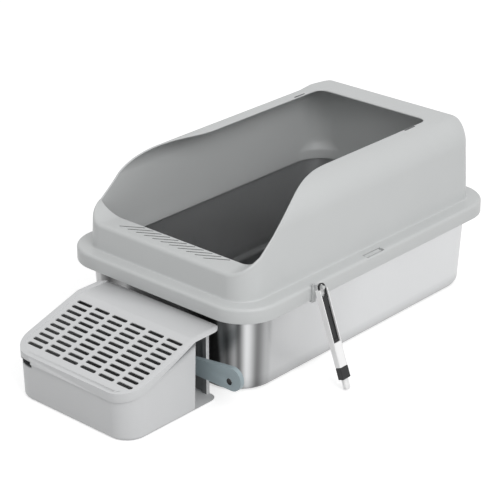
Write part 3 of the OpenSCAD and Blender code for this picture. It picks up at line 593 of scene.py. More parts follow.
def turned_steel(name, colour):
    """Turned steel rod: bright metal with the tool's fine marks. They are about 0.2 mm apart, and
    are drawn 0.5 mm apart to show."""
    material, tree, shader, place = start(name)
    marks = node(
        tree, "ShaderNodeTexNoise", {"Vector": place, "Scale": 1 / TOOL_MARKS, "Detail": 2})
    rough = node(
        tree, "ShaderNodeMapRange", {"Value": marks.outputs["Fac"], "To Min": 0.2, "To Max": 0.4})
    feed(tree, shader, {
        "Base Color": shade(tree, marks.outputs["Fac"], colour, 0.9, 1.05),
        "Roughness": rough.outputs["Result"],
        "Metallic": 1,
    })
    return material


def nylon_filament(name, colour):
    """Extruded nylon filament: white with a soft sheen, in greys that differ a little along and
    between the strands."""
    material, tree, shader, place = start(name)
    strand = node(tree, "ShaderNodeTexNoise", {"Vector": place, "Scale": 1 / STRAND, "Detail": 1})
    feed(tree, shader, {
        "Base Color": shade(tree, strand.outputs["Fac"], colour, 0.88, 1.02),
        "Roughness": 0.42,
        "IOR": 1.53,
    })
    return material


# ---------------------------------------------------------------- steel pan


def rounded_rings(half_width, half_length, corner, steps=24):
    """Rings of rounded rectangles, one row for each size: quarter turns of radius corner round
    four centres. Gives the points, rings by points by two, and the share of each corner's turn."""
    turn = np.radians(np.linspace(0, 90, steps + 1))
    quarter = np.arange(4)[:, None]
    a = (turn[None, :] + np.radians(-90) + quarter * np.radians(90)).ravel()
    sx = np.repeat([1, 1, -1, -1], steps + 1)
    sy = np.repeat([-1, 1, 1, -1], steps + 1)
    w, l, r = (np.asarray(v, float)[:, None] for v in (half_width, half_length, corner))
    share = np.tile(np.linspace(0, 1, steps + 1), 4)
    # a corner's painted reflection streaks run from the pan's end to its side, so two corners count
    # backwards
    backwards = np.repeat([False, True, False, True], steps + 1)
    share = np.where(backwards, 1 - share, share)
    return np.stack([sx * (w - r) + r * np.cos(a), sy * (l - r) + r * np.sin(a)], -1), share


def arc(centre, radius, start_deg, end_deg, steps):
    """Points of a circular arc, [distance out, height]."""
    a = np.radians(np.linspace(start_deg, end_deg, steps + 1))
    return np.column_stack([centre[0] + radius * np.cos(a), centre[1] + radius * np.sin(a)])


def pan_foot(pan, thick, steps=10):
    """The foot's quarter turn in a wall that leans out, thick inside its outer face."""
    share = np.linspace(0, 1, steps + 1)
    a = np.radians(90 * share)
    r = pan.foot - thick
    lean = math.tan(pan.draft)
    return np.column_stack([
        -pan.foot + r * np.sin(a) + pan.foot * lean * share, pan.foot - r * np.cos(a)])


def pan_profile(pan):
    """Section of the pan from its underside up the outside, round its bead and down the inside to
    its floor: [distance outside the base's outline, height]. The walls are straight between the
    foot and the rim, and lean out with height times the tangent of the draft."""
    top_out = pan.height * math.tan(pan.draft)
    rim = top_out + pan.rim_flat
    bead = pan.bead / 2
    under = pan.height - pan.sheet
    outer_bend, inner_bend = 1.5 * MM, 1.2 * MM
    return np.vstack([
        pan_foot(pan, 0),
        arc((top_out + outer_bend, under - outer_bend), outer_bend, 180, 90, 4),
        arc((rim + bead, pan.height - bead), bead, -150, 90, 12),
        arc((top_out + inner_bend, pan.height - inner_bend), inner_bend, 90, 180, 5),
        pan_foot(pan, pan.sheet)[::-1],
    ])


def steel_pan(pan):
    """The pan's section carried round its rounded outline, closed by one flat face below and one
    for the floor."""
    profile = pan_profile(pan)
    out = profile[:, 0]
    rings, share = rounded_rings(pan.width / 2 + out, pan.depth / 2 + out, pan.corner + out)
    rows, columns = rings.shape[:2]
    height = np.broadcast_to(profile[:, 1, None], (rows, columns))
    grid = np.concatenate([rings, height[..., None]], -1)
    underside = range(columns - 1, -1, -1)
    floor = (rows - 1) * columns + np.arange(columns)
    piece = make_piece(
        "steel_pan", grid, [*patches(rows, columns, closed_columns=True), underside, floor],
        sharp=45)
    wall_map(piece.data, pan, np.tile(share, rows))
    return piece


def wall_map(mesh, pan, share):
    """A UV map named wall. U runs from 0 at the pan's front corners to 1 at its back corners. V is
    the share of a corner's turn, whose first lines lean with height."""
    lean = 0.12  # share of the turn that the first line crosses on its way up the wall
    true_at = 0.6  # share of the height at which a leaning line has its own share of the turn
    leaning = 0.4  # share of the turn past which the lines stand upright
    y, z = coordinates(mesh)[:, 1:].T
    fan = lean * (z / pan.height - true_at) * np.maximum(0, 1 - share / leaning)
    straight = pan.depth / 2 - pan.corner
    back = np.clip((y + straight) / (2 * straight), 0, 1)
    corner = np.zeros(len(mesh.loops), np.int32)
    mesh.loops.foreach_get("vertex_index", corner)
    layer = mesh.uv_layers.new(name="wall")
    layer.data.foreach_set("uv", np.column_stack([back[corner], (share + fan)[corner]]).ravel())


# ---------------------------------------------------------------- enclosure

FILLET_WIDTH, FILLET_HEIGHT = 3.6 * MM, 4 * MM  # of the fillet between the flange and the wall
LIP_SET_IN = 0.4 * MM  # how far the lip is set in from the wall above it
LIP_EASE = 16 * MM  # height above the flange over which the inner face eases over to the lip's


class Levels:
    """Plan sizes and heights of the enclosure, worked out from the pan and its own sizes."""

    def __init__(self, pan, hood):
        pan_out = pan.height * math.tan(pan.draft)
        rim = pan_out + pan.rim_flat + pan.bead
        seat = 0.2 * MM  # room between the pan's rim and the flange
        side_room, end_room = 10.1 * MM, 2 * MM  # room between the bead and the skirt
        window_margin = 2 * MM
        self.lean = math.tan(hood.draft)
        self.flange_z = pan.height + seat + hood.skirt
        self.skirt_z = self.flange_z - hood.skirt_height
        self.under_z = self.flange_z - hood.skirt
        self.lip_z = self.under_z - hood.lip_drop
        self.flange_w = pan.width / 2 + rim + side_room + hood.skirt
        self.flange_l = pan.depth / 2 + rim + end_room + hood.skirt
        self.wall_w = pan.width / 2 + pan_out - hood.gap_side
        self.wall_l = pan.depth / 2 + pan_out - hood.gap_end
        self.roll_z = hood.height - hood.roll
        self.corner_x = self.wall_w - hood.corner
        self.corner_y = self.wall_l - hood.corner
        self.lip_corner = pan.corner + pan_out - hood.gap_end
        self.opening_w = hood.opening / 2
        self.opening_l = self.wall_l - hood.back_rim
        self.sill_y = -self.wall_l + hood.sill_depth
        self.band_y = hood.band_place - self.wall_l
        self.entry_wall_z = hood.sill + hood.entry_rise
        self.tight = hood.wall + 0.05 * MM  # least radius of a roll, so that its inside keeps one
        self.window_x1 = self.flange_w - window_margin
        self.window_x0 = self.window_x1 - hood.window_width
        self.window_y0 = -hood.clip_place - hood.window / 2


class Stations:
    """Places round the enclosure where its section is drawn, one row each: the wall's foot o,
    the inward normal n, the flange's edge f, the end of the roll e, the roll's start height z,
    radius r and angle in degrees, and the lip's place."""

    def __init__(self, o, n, f, e, z, r, roll, lip):
        size = len(o)
        self.parts = [np.broadcast_to(p, (size, 2)) for p in (o, n, f, e)]
        self.parts += [np.broadcast_to(p, size) for p in (z, r, roll)]
        self.parts.append(np.broadcast_to(lip, (size, 2)))

    @staticmethod
    def joined(groups):
        """The parts of several groups of stations, one after the other."""
        return [np.concatenate(parts) for parts in zip(*(g.parts for g in groups))]


def side_stations(hood, lv, y):
    """Along the straight side at the places y. Where the top edge drops, the roll unwinds: its
    reach shrinks smoothly to nothing over the sweep, then its start sinks evenly to the height
    of the entry's corner while the bare edge turns level."""
    least_reach = 0.001 * MM
    o = np.column_stack([np.full_like(y, lv.wall_w), y])
    f = np.column_stack([np.full_like(y, lv.flange_w),
                         y * (lv.flange_l - hood.flange_corner) / lv.corner_y])
    lip = np.column_stack([np.full_like(y, lv.wall_w),
                           y * (lv.wall_l - lv.lip_corner) / lv.corner_y])
    top_x = lv.wall_w - lv.lean * (lv.roll_z - lv.flange_z)
    drop_y = -hood.sweep_start - hood.sweep
    fall = (drop_y - y) / (drop_y + lv.corner_y)
    low = fall > 0
    share = np.where(low, fall, 1)
    low_roll = 90 * share
    low_r = np.maximum(lv.tight, hood.wall * share / (1 - np.cos(np.radians(low_roll))))
    low_z = (lv.roll_z - (lv.roll_z - lv.entry_wall_z) * share
             - low_r * np.sin(np.radians(low_roll)))
    rise = smooth(1 + (hood.sweep_start + y) / hood.sweep)
    reach = (top_x - lv.opening_w) * rise ** hood.sweep_turn
    turned = np.clip(reach, least_reach, hood.roll) / hood.roll
    # a roll with less reach has no flat end, and this point then only gives its direction
    aim_x = lv.wall_w - 20 * MM
    end = np.where(low, aim_x, np.minimum(top_x - reach, aim_x))
    return Stations(
        o, [-1, 0], f, np.column_stack([end, y]), np.where(low, low_z, lv.roll_z),
        np.where(low, low_r, hood.roll),
        np.where(low, low_roll, np.degrees(np.arccos(1 - turned))), lip)


def lip_corner(lv, n, end):
    """The lip's place round a corner, which follows the pan's own corner."""
    centre = np.array([lv.wall_w - lv.lip_corner, end * (lv.wall_l - lv.lip_corner)])
    return centre - lv.lip_corner * n


def entry_stations(hood, lv, a):
    """Round a front corner, a degrees from the front: the sill's roll tightens into the wall's
    edge while its height climbs a squared quarter turn, a power of the sine and the cosine."""
    roll_turn = 1.5  # how soon the sill's roll tightens
    s, c = np.sin(np.radians(a)), np.maximum(np.cos(np.radians(a)), 0)
    n = np.column_stack([-s, c])
    side_x = lv.wall_w - lv.lean * (lv.entry_wall_z - lv.flange_z) - hood.wall
    e = np.column_stack([side_x - hood.entry_corner * (1 - s**hood.entry_turn),
                         lv.sill_y - (lv.sill_y + lv.corner_y) * s**2])
    r = lv.tight + (hood.sill_roll - hood.wall) * c**roll_turn
    z = lv.entry_wall_z - hood.entry_rise * c**hood.entry_turn
    return Stations(
        [lv.corner_x, -lv.corner_y] - hood.corner * n, n,
        [lv.flange_w - hood.flange_corner, hood.flange_corner - lv.flange_l]
        - hood.flange_corner * n,
        e, z - r, r, 90.0, lip_corner(lv, n, -1))


def back_stations(hood, lv, a):
    """Round a back corner, a degrees from the side: the side's wide roll tightens to the back's."""
    s, c = np.sin(np.radians(a)), np.cos(np.radians(a))
    n = np.column_stack([-c, -s])
    r = hood.roll + (hood.roll_back - hood.roll) * smooth(a / 90) ** 2
    return Stations(
        [lv.corner_x, lv.corner_y] - hood.corner * n, n,
        [lv.flange_w - hood.flange_corner, lv.flange_l - hood.flange_corner]
        - hood.flange_corner * n,
        [lv.opening_w - hood.opening_corner, lv.opening_l - hood.opening_corner]
        - hood.opening_corner * n,
        hood.height - r, r, 90.0, lip_corner(lv, n, 1))


def column(values):
    """A row of values stood upright, to be combined with each point of a section."""
    return values[:, None]


def raised(place, height):
    """Points from their plan places, stations by points by two, and their heights."""
    return np.concatenate([place, np.broadcast_to(height, place.shape[:2])[..., None]], -1)


def roll_path(hood, lv, start_z, r, roll, across, wall_steps=14, roll_steps=32):
    """The wall's outer face from the fillet to its edge, stations by points: how far it lies inside
    the wall's foot, its height and how far it is bent. It leans in with height times the draft's
    tangent up to start_z, turns through the roll's arc of radius r, then runs flat until it lies
    across inside the foot."""
    least_over = 4 * MM  # least length of the path that the roll's steps are spread over
    lean_in = lv.lean * (start_z - lv.flange_z)
    flat = np.where(roll < 90, 0, np.maximum(0, across - lean_in - r))
    arc_l = r * np.radians(roll)
    base_z = lv.flange_z + FILLET_HEIGHT
    wall_l = start_z - base_z
    total = wall_l + arc_l + flat - hood.wall / 2
    wall_end = np.minimum(wall_l, total - least_over)
    up = np.linspace(0, 1, wall_steps, endpoint=False)
    over = np.linspace(0, 1, roll_steps)
    stretch = np.concatenate([
        column(wall_end) * up, column(wall_end) + column(total - wall_end) * over], axis=1)
    bent = np.clip((stretch - column(wall_l)) / column(r), 0, column(np.radians(roll)))
    past = np.maximum(0, stretch - column(wall_l + arc_l))
    wall_up = np.minimum(stretch, column(wall_l))
    inward = lv.lean * (base_z + wall_up - lv.flange_z) + column(r) * (1 - np.cos(bent)) + past
    return inward, base_z + wall_up + column(r) * np.sin(bent), bent


def rounded_edge(hood, inward, lift, bent):
    """The half round that joins the wall's outer and inner faces at its edge: how far it lies
    inside the wall's foot, and its height."""
    half = hood.wall / 2
    turn = np.radians(np.linspace(0, 180, 9))[1:-1]
    forward, sideways = half * np.sin(turn), half * (1 - np.cos(turn))
    last = bent[:, -1:]
    return (inward[:, -1:] + np.sin(last) * forward + np.cos(last) * sideways,
            lift[:, -1:] + np.cos(last) * forward - np.sin(last) * sideways)


def flange_rows(hood, lv, o, f):
    """The half round under the skirt, the flange's rounded edge, the fillet that rises to the
    wall, and the flange's underside where the lip meets it. All lie on lines from the wall's foot
    o to the flange's edge f."""
    span = column(np.linalg.norm(f - o, axis=1))
    way = (f - o)[:, None]

    def inset(by, height):
        """Points that lie by inside the flange's edge."""
        share = 1 - np.asarray(by)[None, :] / span
        return raised(o[:, None] + way * share[..., None], height)

    t, bend = hood.skirt, hood.flange_edge
    under = np.radians(np.linspace(0, 180, 7))
    edge = np.radians(np.linspace(0, 90, 9))
    fillet, fillet_turn = np.linspace(0, 1, 7)[:-1], 2.2
    foot = np.broadcast_to(FILLET_WIDTH * (1 - fillet) ** fillet_turn, (len(o), len(fillet)))
    skirt = inset(t / 2 + t / 2 * np.cos(under), lv.skirt_z + t / 2 - t / 2 * np.sin(under))
    rim = inset(bend * (1 - np.cos(edge)), lv.flange_z - bend * (1 - np.sin(edge)))
    shoulder = raised(o[:, None] + way * (foot / span)[..., None],
                      lv.flange_z + FILLET_HEIGHT * fillet**fillet_turn)
    return skirt, rim, shoulder, inset([t], lv.under_z)


def lip_row(hood, lv, n, place):
    """The lip below the inner face: a half round at its lower end, then straight up to the
    flange's underside."""
    half = hood.wall / 2
    turn = np.radians(np.linspace(0, 180, 9))
    inside = np.append(LIP_SET_IN + half + half * np.cos(turn), LIP_SET_IN)
    height = np.append(lv.lip_z + half - half * np.sin(turn), lv.under_z)
    return raised(place[:, None] + n[:, None] * inside[None, :, None], height)


def hood_sections(hood, lv, parts):
    """The closed section at every station, stations by points by three: skirt, flange, wall and
    roll outside, its rounded edge, and back down inside to the lip. The inner face lies one wall
    thickness along the wall's normal and eases over to the lip, which follows the pan."""
    o, n, f, e, start_z, r, roll, lip_place = parts
    fold = lv.lean * (start_z - lv.flange_z) + hood.wall
    turn_at = o + n * column(fold)
    across = np.linalg.norm(e - turn_at, axis=1) + fold

    def plan(reach):
        """Plan place of a point that lies reach inside the wall's foot: along the normal as far
        as the fold, then straight for the end of the roll."""
        straight = o[:, None] + n[:, None] * reach[..., None]
        aim = unit(e - turn_at)
        turned = turn_at[:, None] + aim[:, None] * (reach - column(fold))[..., None]
        return np.where((reach <= column(fold))[..., None], straight, turned)

    inward, lift, bent = roll_path(hood, lv, start_z, r, roll, across)
    edge_in, edge_z = rounded_edge(hood, inward, lift, bent)
    outside = raised(plan(inward), lift)
    inside = raised(
        plan(inward + hood.wall * np.cos(bent)), lift - hood.wall * np.sin(bent))[:, ::-1]
    # two more points lead the inner face down past the fillet, to the flange's top
    low = raised(plan(np.full((len(o), 2), hood.wall + LIP_SET_IN / 2)),
                 lv.flange_z + np.array([2, 0]) * MM)
    inside = np.concatenate([inside, low], axis=1)
    lip_face = lip_place + n * (hood.wall + LIP_SET_IN)
    ease = smooth((lv.flange_z + LIP_EASE - inside[..., 2:]) / LIP_EASE)
    inside[..., :2] = inside[..., :2] * (1 - ease) + lip_face[:, None] * ease
    skirt, rim, shoulder, ceiling = flange_rows(hood, lv, o, f)
    return np.concatenate([
        skirt, rim, shoulder, outside, raised(plan(edge_in), edge_z), inside,
        lip_row(hood, lv, n, lip_place), ceiling,
    ], axis=1)


def enclosure_shell(hood, lv):
    """The one-piece moulding: sections at stations along the right side, mirrored to the left,
    joined into one closed loop, with its slots, windows and grooves cut out."""
    turn = np.linspace(0, 90, 25)
    drop_y = -hood.sweep_start - hood.sweep
    # the sweep's first two places lie close together, where the roll is still at its tightest
    first = drop_y + hood.sweep * 0.005
    y = np.concatenate([
        np.linspace(-lv.corner_y, drop_y, 9)[1:],
        np.linspace(first, -hood.sweep_start, 48),
        np.linspace(-hood.sweep_start, lv.opening_l - hood.opening_corner, 12)[1:],
    ])
    right = hood_sections(hood, lv, Stations.joined([
        entry_stations(hood, lv, turn), side_stations(hood, lv, y), back_stations(hood, lv, turn)]))
    grid = np.concatenate([right, right[::-1] * [-1, 1, 1]])
    piece = make_piece("moulded_enclosure", grid, patches(*grid.shape[:2], True, True))
    # each cut reaches past the faces that it goes through, and the grooves stop at their depth
    slots, grooves = slot_outlines(hood, lv), groove_outlines(hood, lv)
    cut_away(piece, prisms("slots", slots, hood.height - 8 * MM, hood.height + 5 * MM))
    windows = [
        rectangle(side, lv.window_x0, lv.window_x1, lv.window_y0, lv.window_y0 + hood.window)
        for side in (-1, 1)
    ]
    cut_away(piece, prisms("windows", windows, lv.under_z - 1 * MM, lv.flange_z + 1 * MM))
    cut_away(piece, prisms("grooves", grooves, hood.sill - hood.groove_depth, hood.sill + 3 * MM))
    return piece


def slot_outlines(hood, lv):
    """A slot on each side of the top opening, a small margin away from it."""
    x = lv.opening_w + SLOT_MARGIN + hood.slot_width / 2
    return [
        placed(stadium(hood.slot, hood.slot_width), (side * x, hood.slot_place), 90)
        for side in (-1, 1)
    ]


def groove_outlines(hood, lv):
    """Round-ended grooves set slantwise in a band along the sill, each as long as the band's
    depth lets it be."""
    pitch = hood.groove_pitch / math.sin(hood.groove_turn)
    long = hood.band_width / math.sin(hood.groove_turn)
    half = (hood.band - long * math.cos(hood.groove_turn)) / 2
    places = np.arange(-math.floor(half / pitch), math.floor(half / pitch) + 1) * pitch
    return [
        placed(stadium(long, hood.groove_width), (x, lv.band_y), math.degrees(hood.groove_turn))
        for x in places
    ]


def clip_ear_blocks(hood, lv):
    """Two ears on each side, under the flange at the ends of a clip's pin, which hold it: plain
    blocks without the pin's hole, which is out of sight."""
    thick, inner_reach, below_axis = 2.5 * MM, 5.9 * MM, 4 * MM
    lo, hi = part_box("rim_clip_pin_right")
    axis = (lo + hi) / 2
    outlines = [
        rectangle(side, axis.x - inner_reach, lv.flange_w - hood.skirt / 2, y, y + thick)
        for side in (-1, 1)
        for y in (lo.y, hi.y - thick)
    ]
    return prisms("clip_ears", outlines, axis.z - below_axis, lv.under_z)


# ---------------------------------------------------------------- bristles


def bristle_tuft(brush):
    """Rows and columns of four-sided filaments below the head. In the brush's own frame, with u
    through the brush, y across it and w up it, a filament is a straight line from its root to
    its tip: the root lies on a grid, the tip splays out with its distance from the middle, and
    the tips follow the arc that the tuft was trimmed to."""
    u_way = np.array([math.cos(brush.lean), 0, math.sin(brush.lean)])
    w_way = np.array([-math.sin(brush.lean), 0, math.cos(brush.lean)])
    lo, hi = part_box("brush_head")
    foot_x = hi.x - brush.depth * math.cos(brush.lean) + brush.bristle * math.sin(brush.lean)
    foot = np.array([foot_x, (lo.y + hi.y) / 2, 0])
    rng = np.random.default_rng(7)
    shape = (brush.rows, brush.columns)
    stray_v, stray_u = 0.03, 0.06  # how far a root strays from its place in the grid
    v = np.linspace(-1, 1, brush.columns)[None, :] + rng.uniform(-stray_v, stray_v, shape)
    u = np.linspace(-1, 1, brush.rows)[:, None] + rng.uniform(-stray_u, stray_u, shape)
    half_y, half_u = brush.tuft_width / 2 - brush.filament, brush.tuft_depth / 2 - brush.filament
    # height of each tip: the arc of the cut, and how uneven the cut was
    arc_r = 0.62 * brush.tuft_width
    arc_y = v * half_y * 0.98
    uneven = rng.uniform(0.4, 1.0, shape) * MM
    trim = arc_r - np.sqrt(arc_r**2 - arc_y**2) + uneven
    t = np.linspace(0, 1, 4)[:, None, None]
    spread = 1 + t * math.tan(brush.splay)
    keep_u, keep_y = 0.9, 0.92  # share of the tuft that the roots take, to leave the tips room
    centre_u = brush.depth / 2 + u * half_u * spread * keep_u
    centre_y = v * half_y * spread * keep_y
    height = brush.bristle * (1 - t) + trim * t
    taper = 0.35  # share of its thickness that a filament loses towards its tip
    thick = brush.filament / 2 * (1 - taper * t**4)
    turn = np.radians(np.array([45, 135, 225, 315]))[:, None, None, None]
    place = (
        foot + (centre_u + thick * np.cos(turn))[..., None] * u_way
        + (centre_y + thick * np.sin(turn))[..., None] * [0, 1, 0]
        + np.broadcast_to(height, (4, *centre_u.shape))[..., None] * w_way)
    grid = place.transpose(2, 3, 1, 0, 4).reshape(-1, 4, 4, 3)
    first = 16 * np.arange(len(grid))[:, None, None]
    side = (patches(4, 4, closed_columns=True) + first).reshape(-1, 4)
    ends = [corners + first[:, 0] for corners in ([3, 2, 1, 0], [12, 13, 14, 15])]
    return make_piece("nylon_tuft", grid, np.concatenate([side, *ends]), sharp=60)


# ---------------------------------------------------------------- stage

KEY_PLACE, KEY_TARGET = (2.3, -0.9, 2.0), (0, -0.1, 0.1)
KEY_SIDE = 1.6  # width and height of the lamp's face
FLOOR_HALF = 6.0
FLOOR_SINK = 0.2 * MM  # keeps the floor's face clear of what stands on it
PAPER = "#cfcfcf"


def seen(tree):
    """One for rays from the camera and for those in mirrors and clear materials, which show the
    backdrop, and zero for the rays that light the object."""
    path = node(tree, "ShaderNodeLightPath")
    shown = path.outputs["Is Camera Ray"]
    for kind in ("Is Glossy Ray", "Is Transmission Ray"):
        shown = node(
            tree, "ShaderNodeMath", {0: shown, 1: path.outputs[kind]}, operation="MAXIMUM"
        ).outputs[0]
    return shown


def plain_floor(glow):
    """A wide floor of matt white paper. It keeps the object's shadow, and the rest is lifted to
    white only where it is seen."""
    floor = make_piece(
        "floor", FLOOR_HALF * np.array([(-1, -1, 0), (1, -1, 0), (1, 1, 0), (-1, 1, 0)]),
        [(0, 1, 2, 3)])
    floor.data.transform(Matrix.Translation((0, 0, -FLOOR_SINK)))
    material, tree, shader, _ = start("matt_white_backdrop_paper")
    lift = node(tree, "ShaderNodeMapRange", {"Value": seen(tree), "To Min": 0.0, "To Max": glow})
    feed(tree, shader, {
        "Base Color": linear(PAPER),
        "Roughness": 0.9,
        "Specular IOR Level": 0.0,
        "Emission Color": WHITE,
        "Emission Strength": lift.outputs["Result"],
    })
    floor.data.materials.append(material)
    return floor


def sky(scene, zenith, horizon):
    """A white dome, brighter overhead, that is plain white where it is seen."""
    world = bpy.data.worlds.new("white_studio")
    scene.world = world
    world.use_nodes = True
    tree = world.node_tree
    tree.nodes.clear()
    way = node(tree, "ShaderNodeTexCoord").outputs["Generated"]
    up = node(tree, "ShaderNodeSeparateXYZ", {"Vector": way}).outputs["Z"]
    dome = node(tree, "ShaderNodeMapRange", {"Value": up, "To Min": horizon, "To Max": zenith})
    level = node(tree, "ShaderNodeMapRange", {
        "Value": seen(tree), "To Min": dome.outputs["Result"], "To Max": 1.0})
    light = node(
        tree, "ShaderNodeBackground", {"Strength": level.outputs["Result"], "Color": WHITE})
    node(tree, "ShaderNodeOutputWorld", {"Surface": light.outputs["Background"]})


def soft_lamp(power):
    """The large square lamp, turned to look at the object."""
    light = bpy.data.lights.new("key", "AREA")
    light.shape, light.size, light.size_y, light.energy = "RECTANGLE", KEY_SIDE, KEY_SIDE, power
    made = linked("key", light)
    made.location = KEY_PLACE
    way = Vector(KEY_TARGET) - Vector(KEY_PLACE)
    made.rotation_euler = way.to_track_quat("-Z", "Y").to_euler()


# ---------------------------------------------------------------- faces with another finish, and faces painted darker as shade


def cut_faces(hood, lv):
    """Picks the inside of the grip grooves, with the rounded inner edge of the sill behind them,
    and of the two slots beside the opening. These faces take a darker grey as painted shade."""
    near, beyond = 0.2 * MM, 2 * MM  # room for a face's centre, in the slots and round the band
    band_front = lv.band_y - hood.band_width / 2
    slot_x = lv.opening_w + SLOT_MARGIN + hood.slot_width / 2

    def picks(centres, normals):
        x, y, z = np.abs(centres[:, 0]), centres[:, 1], centres[:, 2]
        groove = (x < hood.band / 2 + beyond) & (y < 0) & (y > band_front - beyond)
        groove &= (z > hood.sill - hood.wall + near) & (z < hood.sill - near)
        slot = (np.abs(x - slot_x) < hood.slot_width / 2 + near) & (np.abs(normals[:, 2]) < 0.5)
        slot &= np.abs(y - hood.slot_place) < hood.slot / 2 + near
        slot &= z > hood.height - hood.wall - near
        return groove | slot

    return picks


def recess_faces(brush):
    """Picks the faces of the grip that lie a recess below its front."""
    front = np.array([math.cos(brush.lean), 0, math.sin(brush.lean)])

    def picks(centres, normals):
        facing = normals @ front > 0.99
        depth = centres @ front
        below = depth[facing].max() - depth
        return facing & (np.abs(below - brush.recess) < 0.1 * MM)

    return picks


def inner_faces(centres, normals):
    """Picks the faces inside the bin: walls that look towards its middle, and the floor apart from
    the foot that runs on behind it. These take a darker grey as painted shade."""
    foot, floor_top = 70 * MM, 6 * MM
    lo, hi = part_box("step_bin")
    middle = np.array([(lo.x + hi.x) / 2, (lo.y + hi.y) / 2])
    inward = ((centres[:, :2] - middle) * normals[:, :2]).sum(1) < -1 * MM
    floor = (normals[:, 2] > 0.9) & (centres[:, 2] < floor_top) & (centres[:, 1] < hi.y - foot)
    return inward | floor


def underside(centres, normals):
    """Picks the faces that look down."""
    return normals[:, 2] < -0.3


def hole_faces(centres, normals):
    """Picks the wall of the scoop's hanging hole, which takes black as painted shade."""
    hole = next(m for m in frame["record"]["mounts"] if m["name"] == "scoop_hanging_hole")
    reach = np.hypot(*(centres - hole["pos_m"])[:, [0, 2]].T)
    return (reach < HOLE_WALL_REACH) & (np.abs(normals[:, 1]) < 0.6)


# ---------------------------------------------------------------- operators


class LITTERBOX_OT_stage(bpy.types.Operator):
    """Camera, pale floor, backdrop and soft lamp"""

    bl_idname = "litterbox.stage"
    bl_label = "Stage"

    def execute(self, context):
        scene = context.scene
        stage = scene.litterbox_stage
        camera = linked("camera", bpy.data.cameras.new("camera"))
        camera.location = stage.camera
        camera.rotation_euler = Euler((math.radians(90) - stage.down, 0, stage.turn))
        camera.data.lens = stage.lens
        camera.data.clip_end = 50
        scene.camera = camera
        scene.view_settings.view_transform = "Standard"
        plain_floor(stage.glow)
        sky(scene, stage.zenith, stage.horizon)
        soft_lamp(stage.key)
        return {"FINISHED"}


class LITTERBOX_OT_pan(bpy.types.Operator):
    """The drawn stainless pan with its rolled bead"""

    bl_idname = "litterbox.pan"
    bl_label = "Steel pan"

    def execute(self, context):
        steel = drawn_steel("drawn_stainless_steel", context.scene.litterbox_finish.steel)
        piece = steel_pan(context.scene.litterbox_pan)
        settle(piece, "pan", steel, "steel", "steel_tray")
        return {"FINISHED"}


class LITTERBOX_OT_enclosure(bpy.types.Operator):
    """The moulded enclosure with its rolled top, sill and flange, the ears under it and its hook"""

    bl_idname = "litterbox.enclosure"
    bl_label = "Enclosure"

    def execute(self, context):
        scene = context.scene
        finish, edges, hood = scene.litterbox_finish, scene.litterbox_edges, scene.litterbox_hood
        lv = Levels(scene.litterbox_pan, hood)
        grey = moulded_plastic("moulded_grey_polypropylene", finish.shell, roughness=0.42)
        # the grooves and the top slots take a darker grey, painted shade
        rough = moulded_plastic(
            "grey_polypropylene_painted_shade", finish.inner, roughness=0.6, grain=COARSE_GRAIN)
        shell = enclosure_shell(hood, lv)
        settle(shell, "enclosure", grey, "grey_plastic", "enclosure")
        second_material(shell, rough, cut_faces(hood, lv))
        ears = clip_ear_blocks(hood, lv)
        rounded_edges(ears, edges.ear)
        settle(ears, "enclosure", grey, "grey_plastic")
        softened("tool_hook_clip", "tool_hook", "enclosure", edges.hook, grey, "grey_plastic")
        return {"FINISHED"}


class LITTERBOX_OT_clips(bpy.types.Operator):
    """The rocking rim clips and their pins"""

    bl_idname = "litterbox.clips"
    bl_label = "Rim clips"

    def execute(self, context):
        finish, edges = context.scene.litterbox_finish, context.scene.litterbox_edges
        grey = moulded_plastic("moulded_grey_acetal", finish.shell, roughness=0.38)
        steel = turned_steel("turned_pin_steel", finish.pin)
        for side in ("right", "left"):
            softened(f"rocking_clip_{side}", f"rim_clip_{side}", f"clip_{side}", edges.clip,
                     grey, "grey_plastic")
            dress(frame["nodes"][f"rim_clip_pin_{side}"], steel)
        return {"FINISHED"}


class LITTERBOX_OT_brush(bpy.types.Operator):
    """The groove brush in its sheath"""

    bl_idname = "litterbox.brush"
    bl_label = "Groove brush"

    def execute(self, context):
        scene = context.scene
        finish, edges, brush = scene.litterbox_finish, scene.litterbox_edges, scene.litterbox_brush
        white = moulded_plastic("moulded_white_polystyrene", finish.white, roughness=0.34)
        black = moulded_plastic("moulded_black_abs", finish.black, roughness=0.4, cloud=0.05)
        matt = moulded_plastic(
            "grained_black_abs", finish.grip, roughness=0.62, grain=COARSE_GRAIN, cloud=0.05)
        nylon = nylon_filament("white_nylon_filament", finish.bristle)
        softened("brush_channel", "brush_sheath", "brush_set", edges.moulded,
                 white, "white_plastic")
        grip = softened("brush_grip", "brush_handle", "brush", edges.handle,
                        black, "black_plastic")
        second_material(grip, matt, recess_faces(brush))
        softened("brush_sleeve", "brush_collar", "brush", edges.moulded, white, "white_plastic")
        softened("brush_block", "brush_head", "brush", edges.handle, black, "black_plastic")
        settle(bristle_tuft(brush), "brush", nylon, "bristle", "brush_bristles")
        return {"FINISHED"}


class LITTERBOX_OT_step(bpy.types.Operator):
    """The step's bin, its slotted lid and the lid's hinge pins"""

    bl_idname = "litterbox.step"
    bl_label = "Step"

    def execute(self, context):
        finish, edges = context.scene.litterbox_finish, context.scene.litterbox_edges
        grey = moulded_plastic("moulded_step_polypropylene", finish.step, roughness=0.44)
        # the darker grey inside the bin and under the lid is painted shade
        rough = moulded_plastic(
            "step_polypropylene_painted_shade", finish.inner, roughness=0.6, grain=COARSE_GRAIN)
        steel = turned_steel("turned_hinge_steel", finish.pin)
        bin_shell = softened("step_bin_shell", "step_bin", "step", edges.moulded,
                             grey, "grey_plastic")
        second_material(bin_shell, rough, inner_faces)
        # the lid's plate turns down into walls of at least 8 mm
        top_edge = outline_edge(Vector((0, 0, 1)), 8 * MM)
        lid = softened("step_lid_panel", "step_lid", "step_lid", edges.moulded,
                       grey, "grey_plastic", top_edge, edges.lid)
        second_material(lid, rough, underside)
        for side in ("right", "left"):
            dress(frame["nodes"][f"lid_hinge_pin_{side}"], steel)
        return {"FINISHED"}


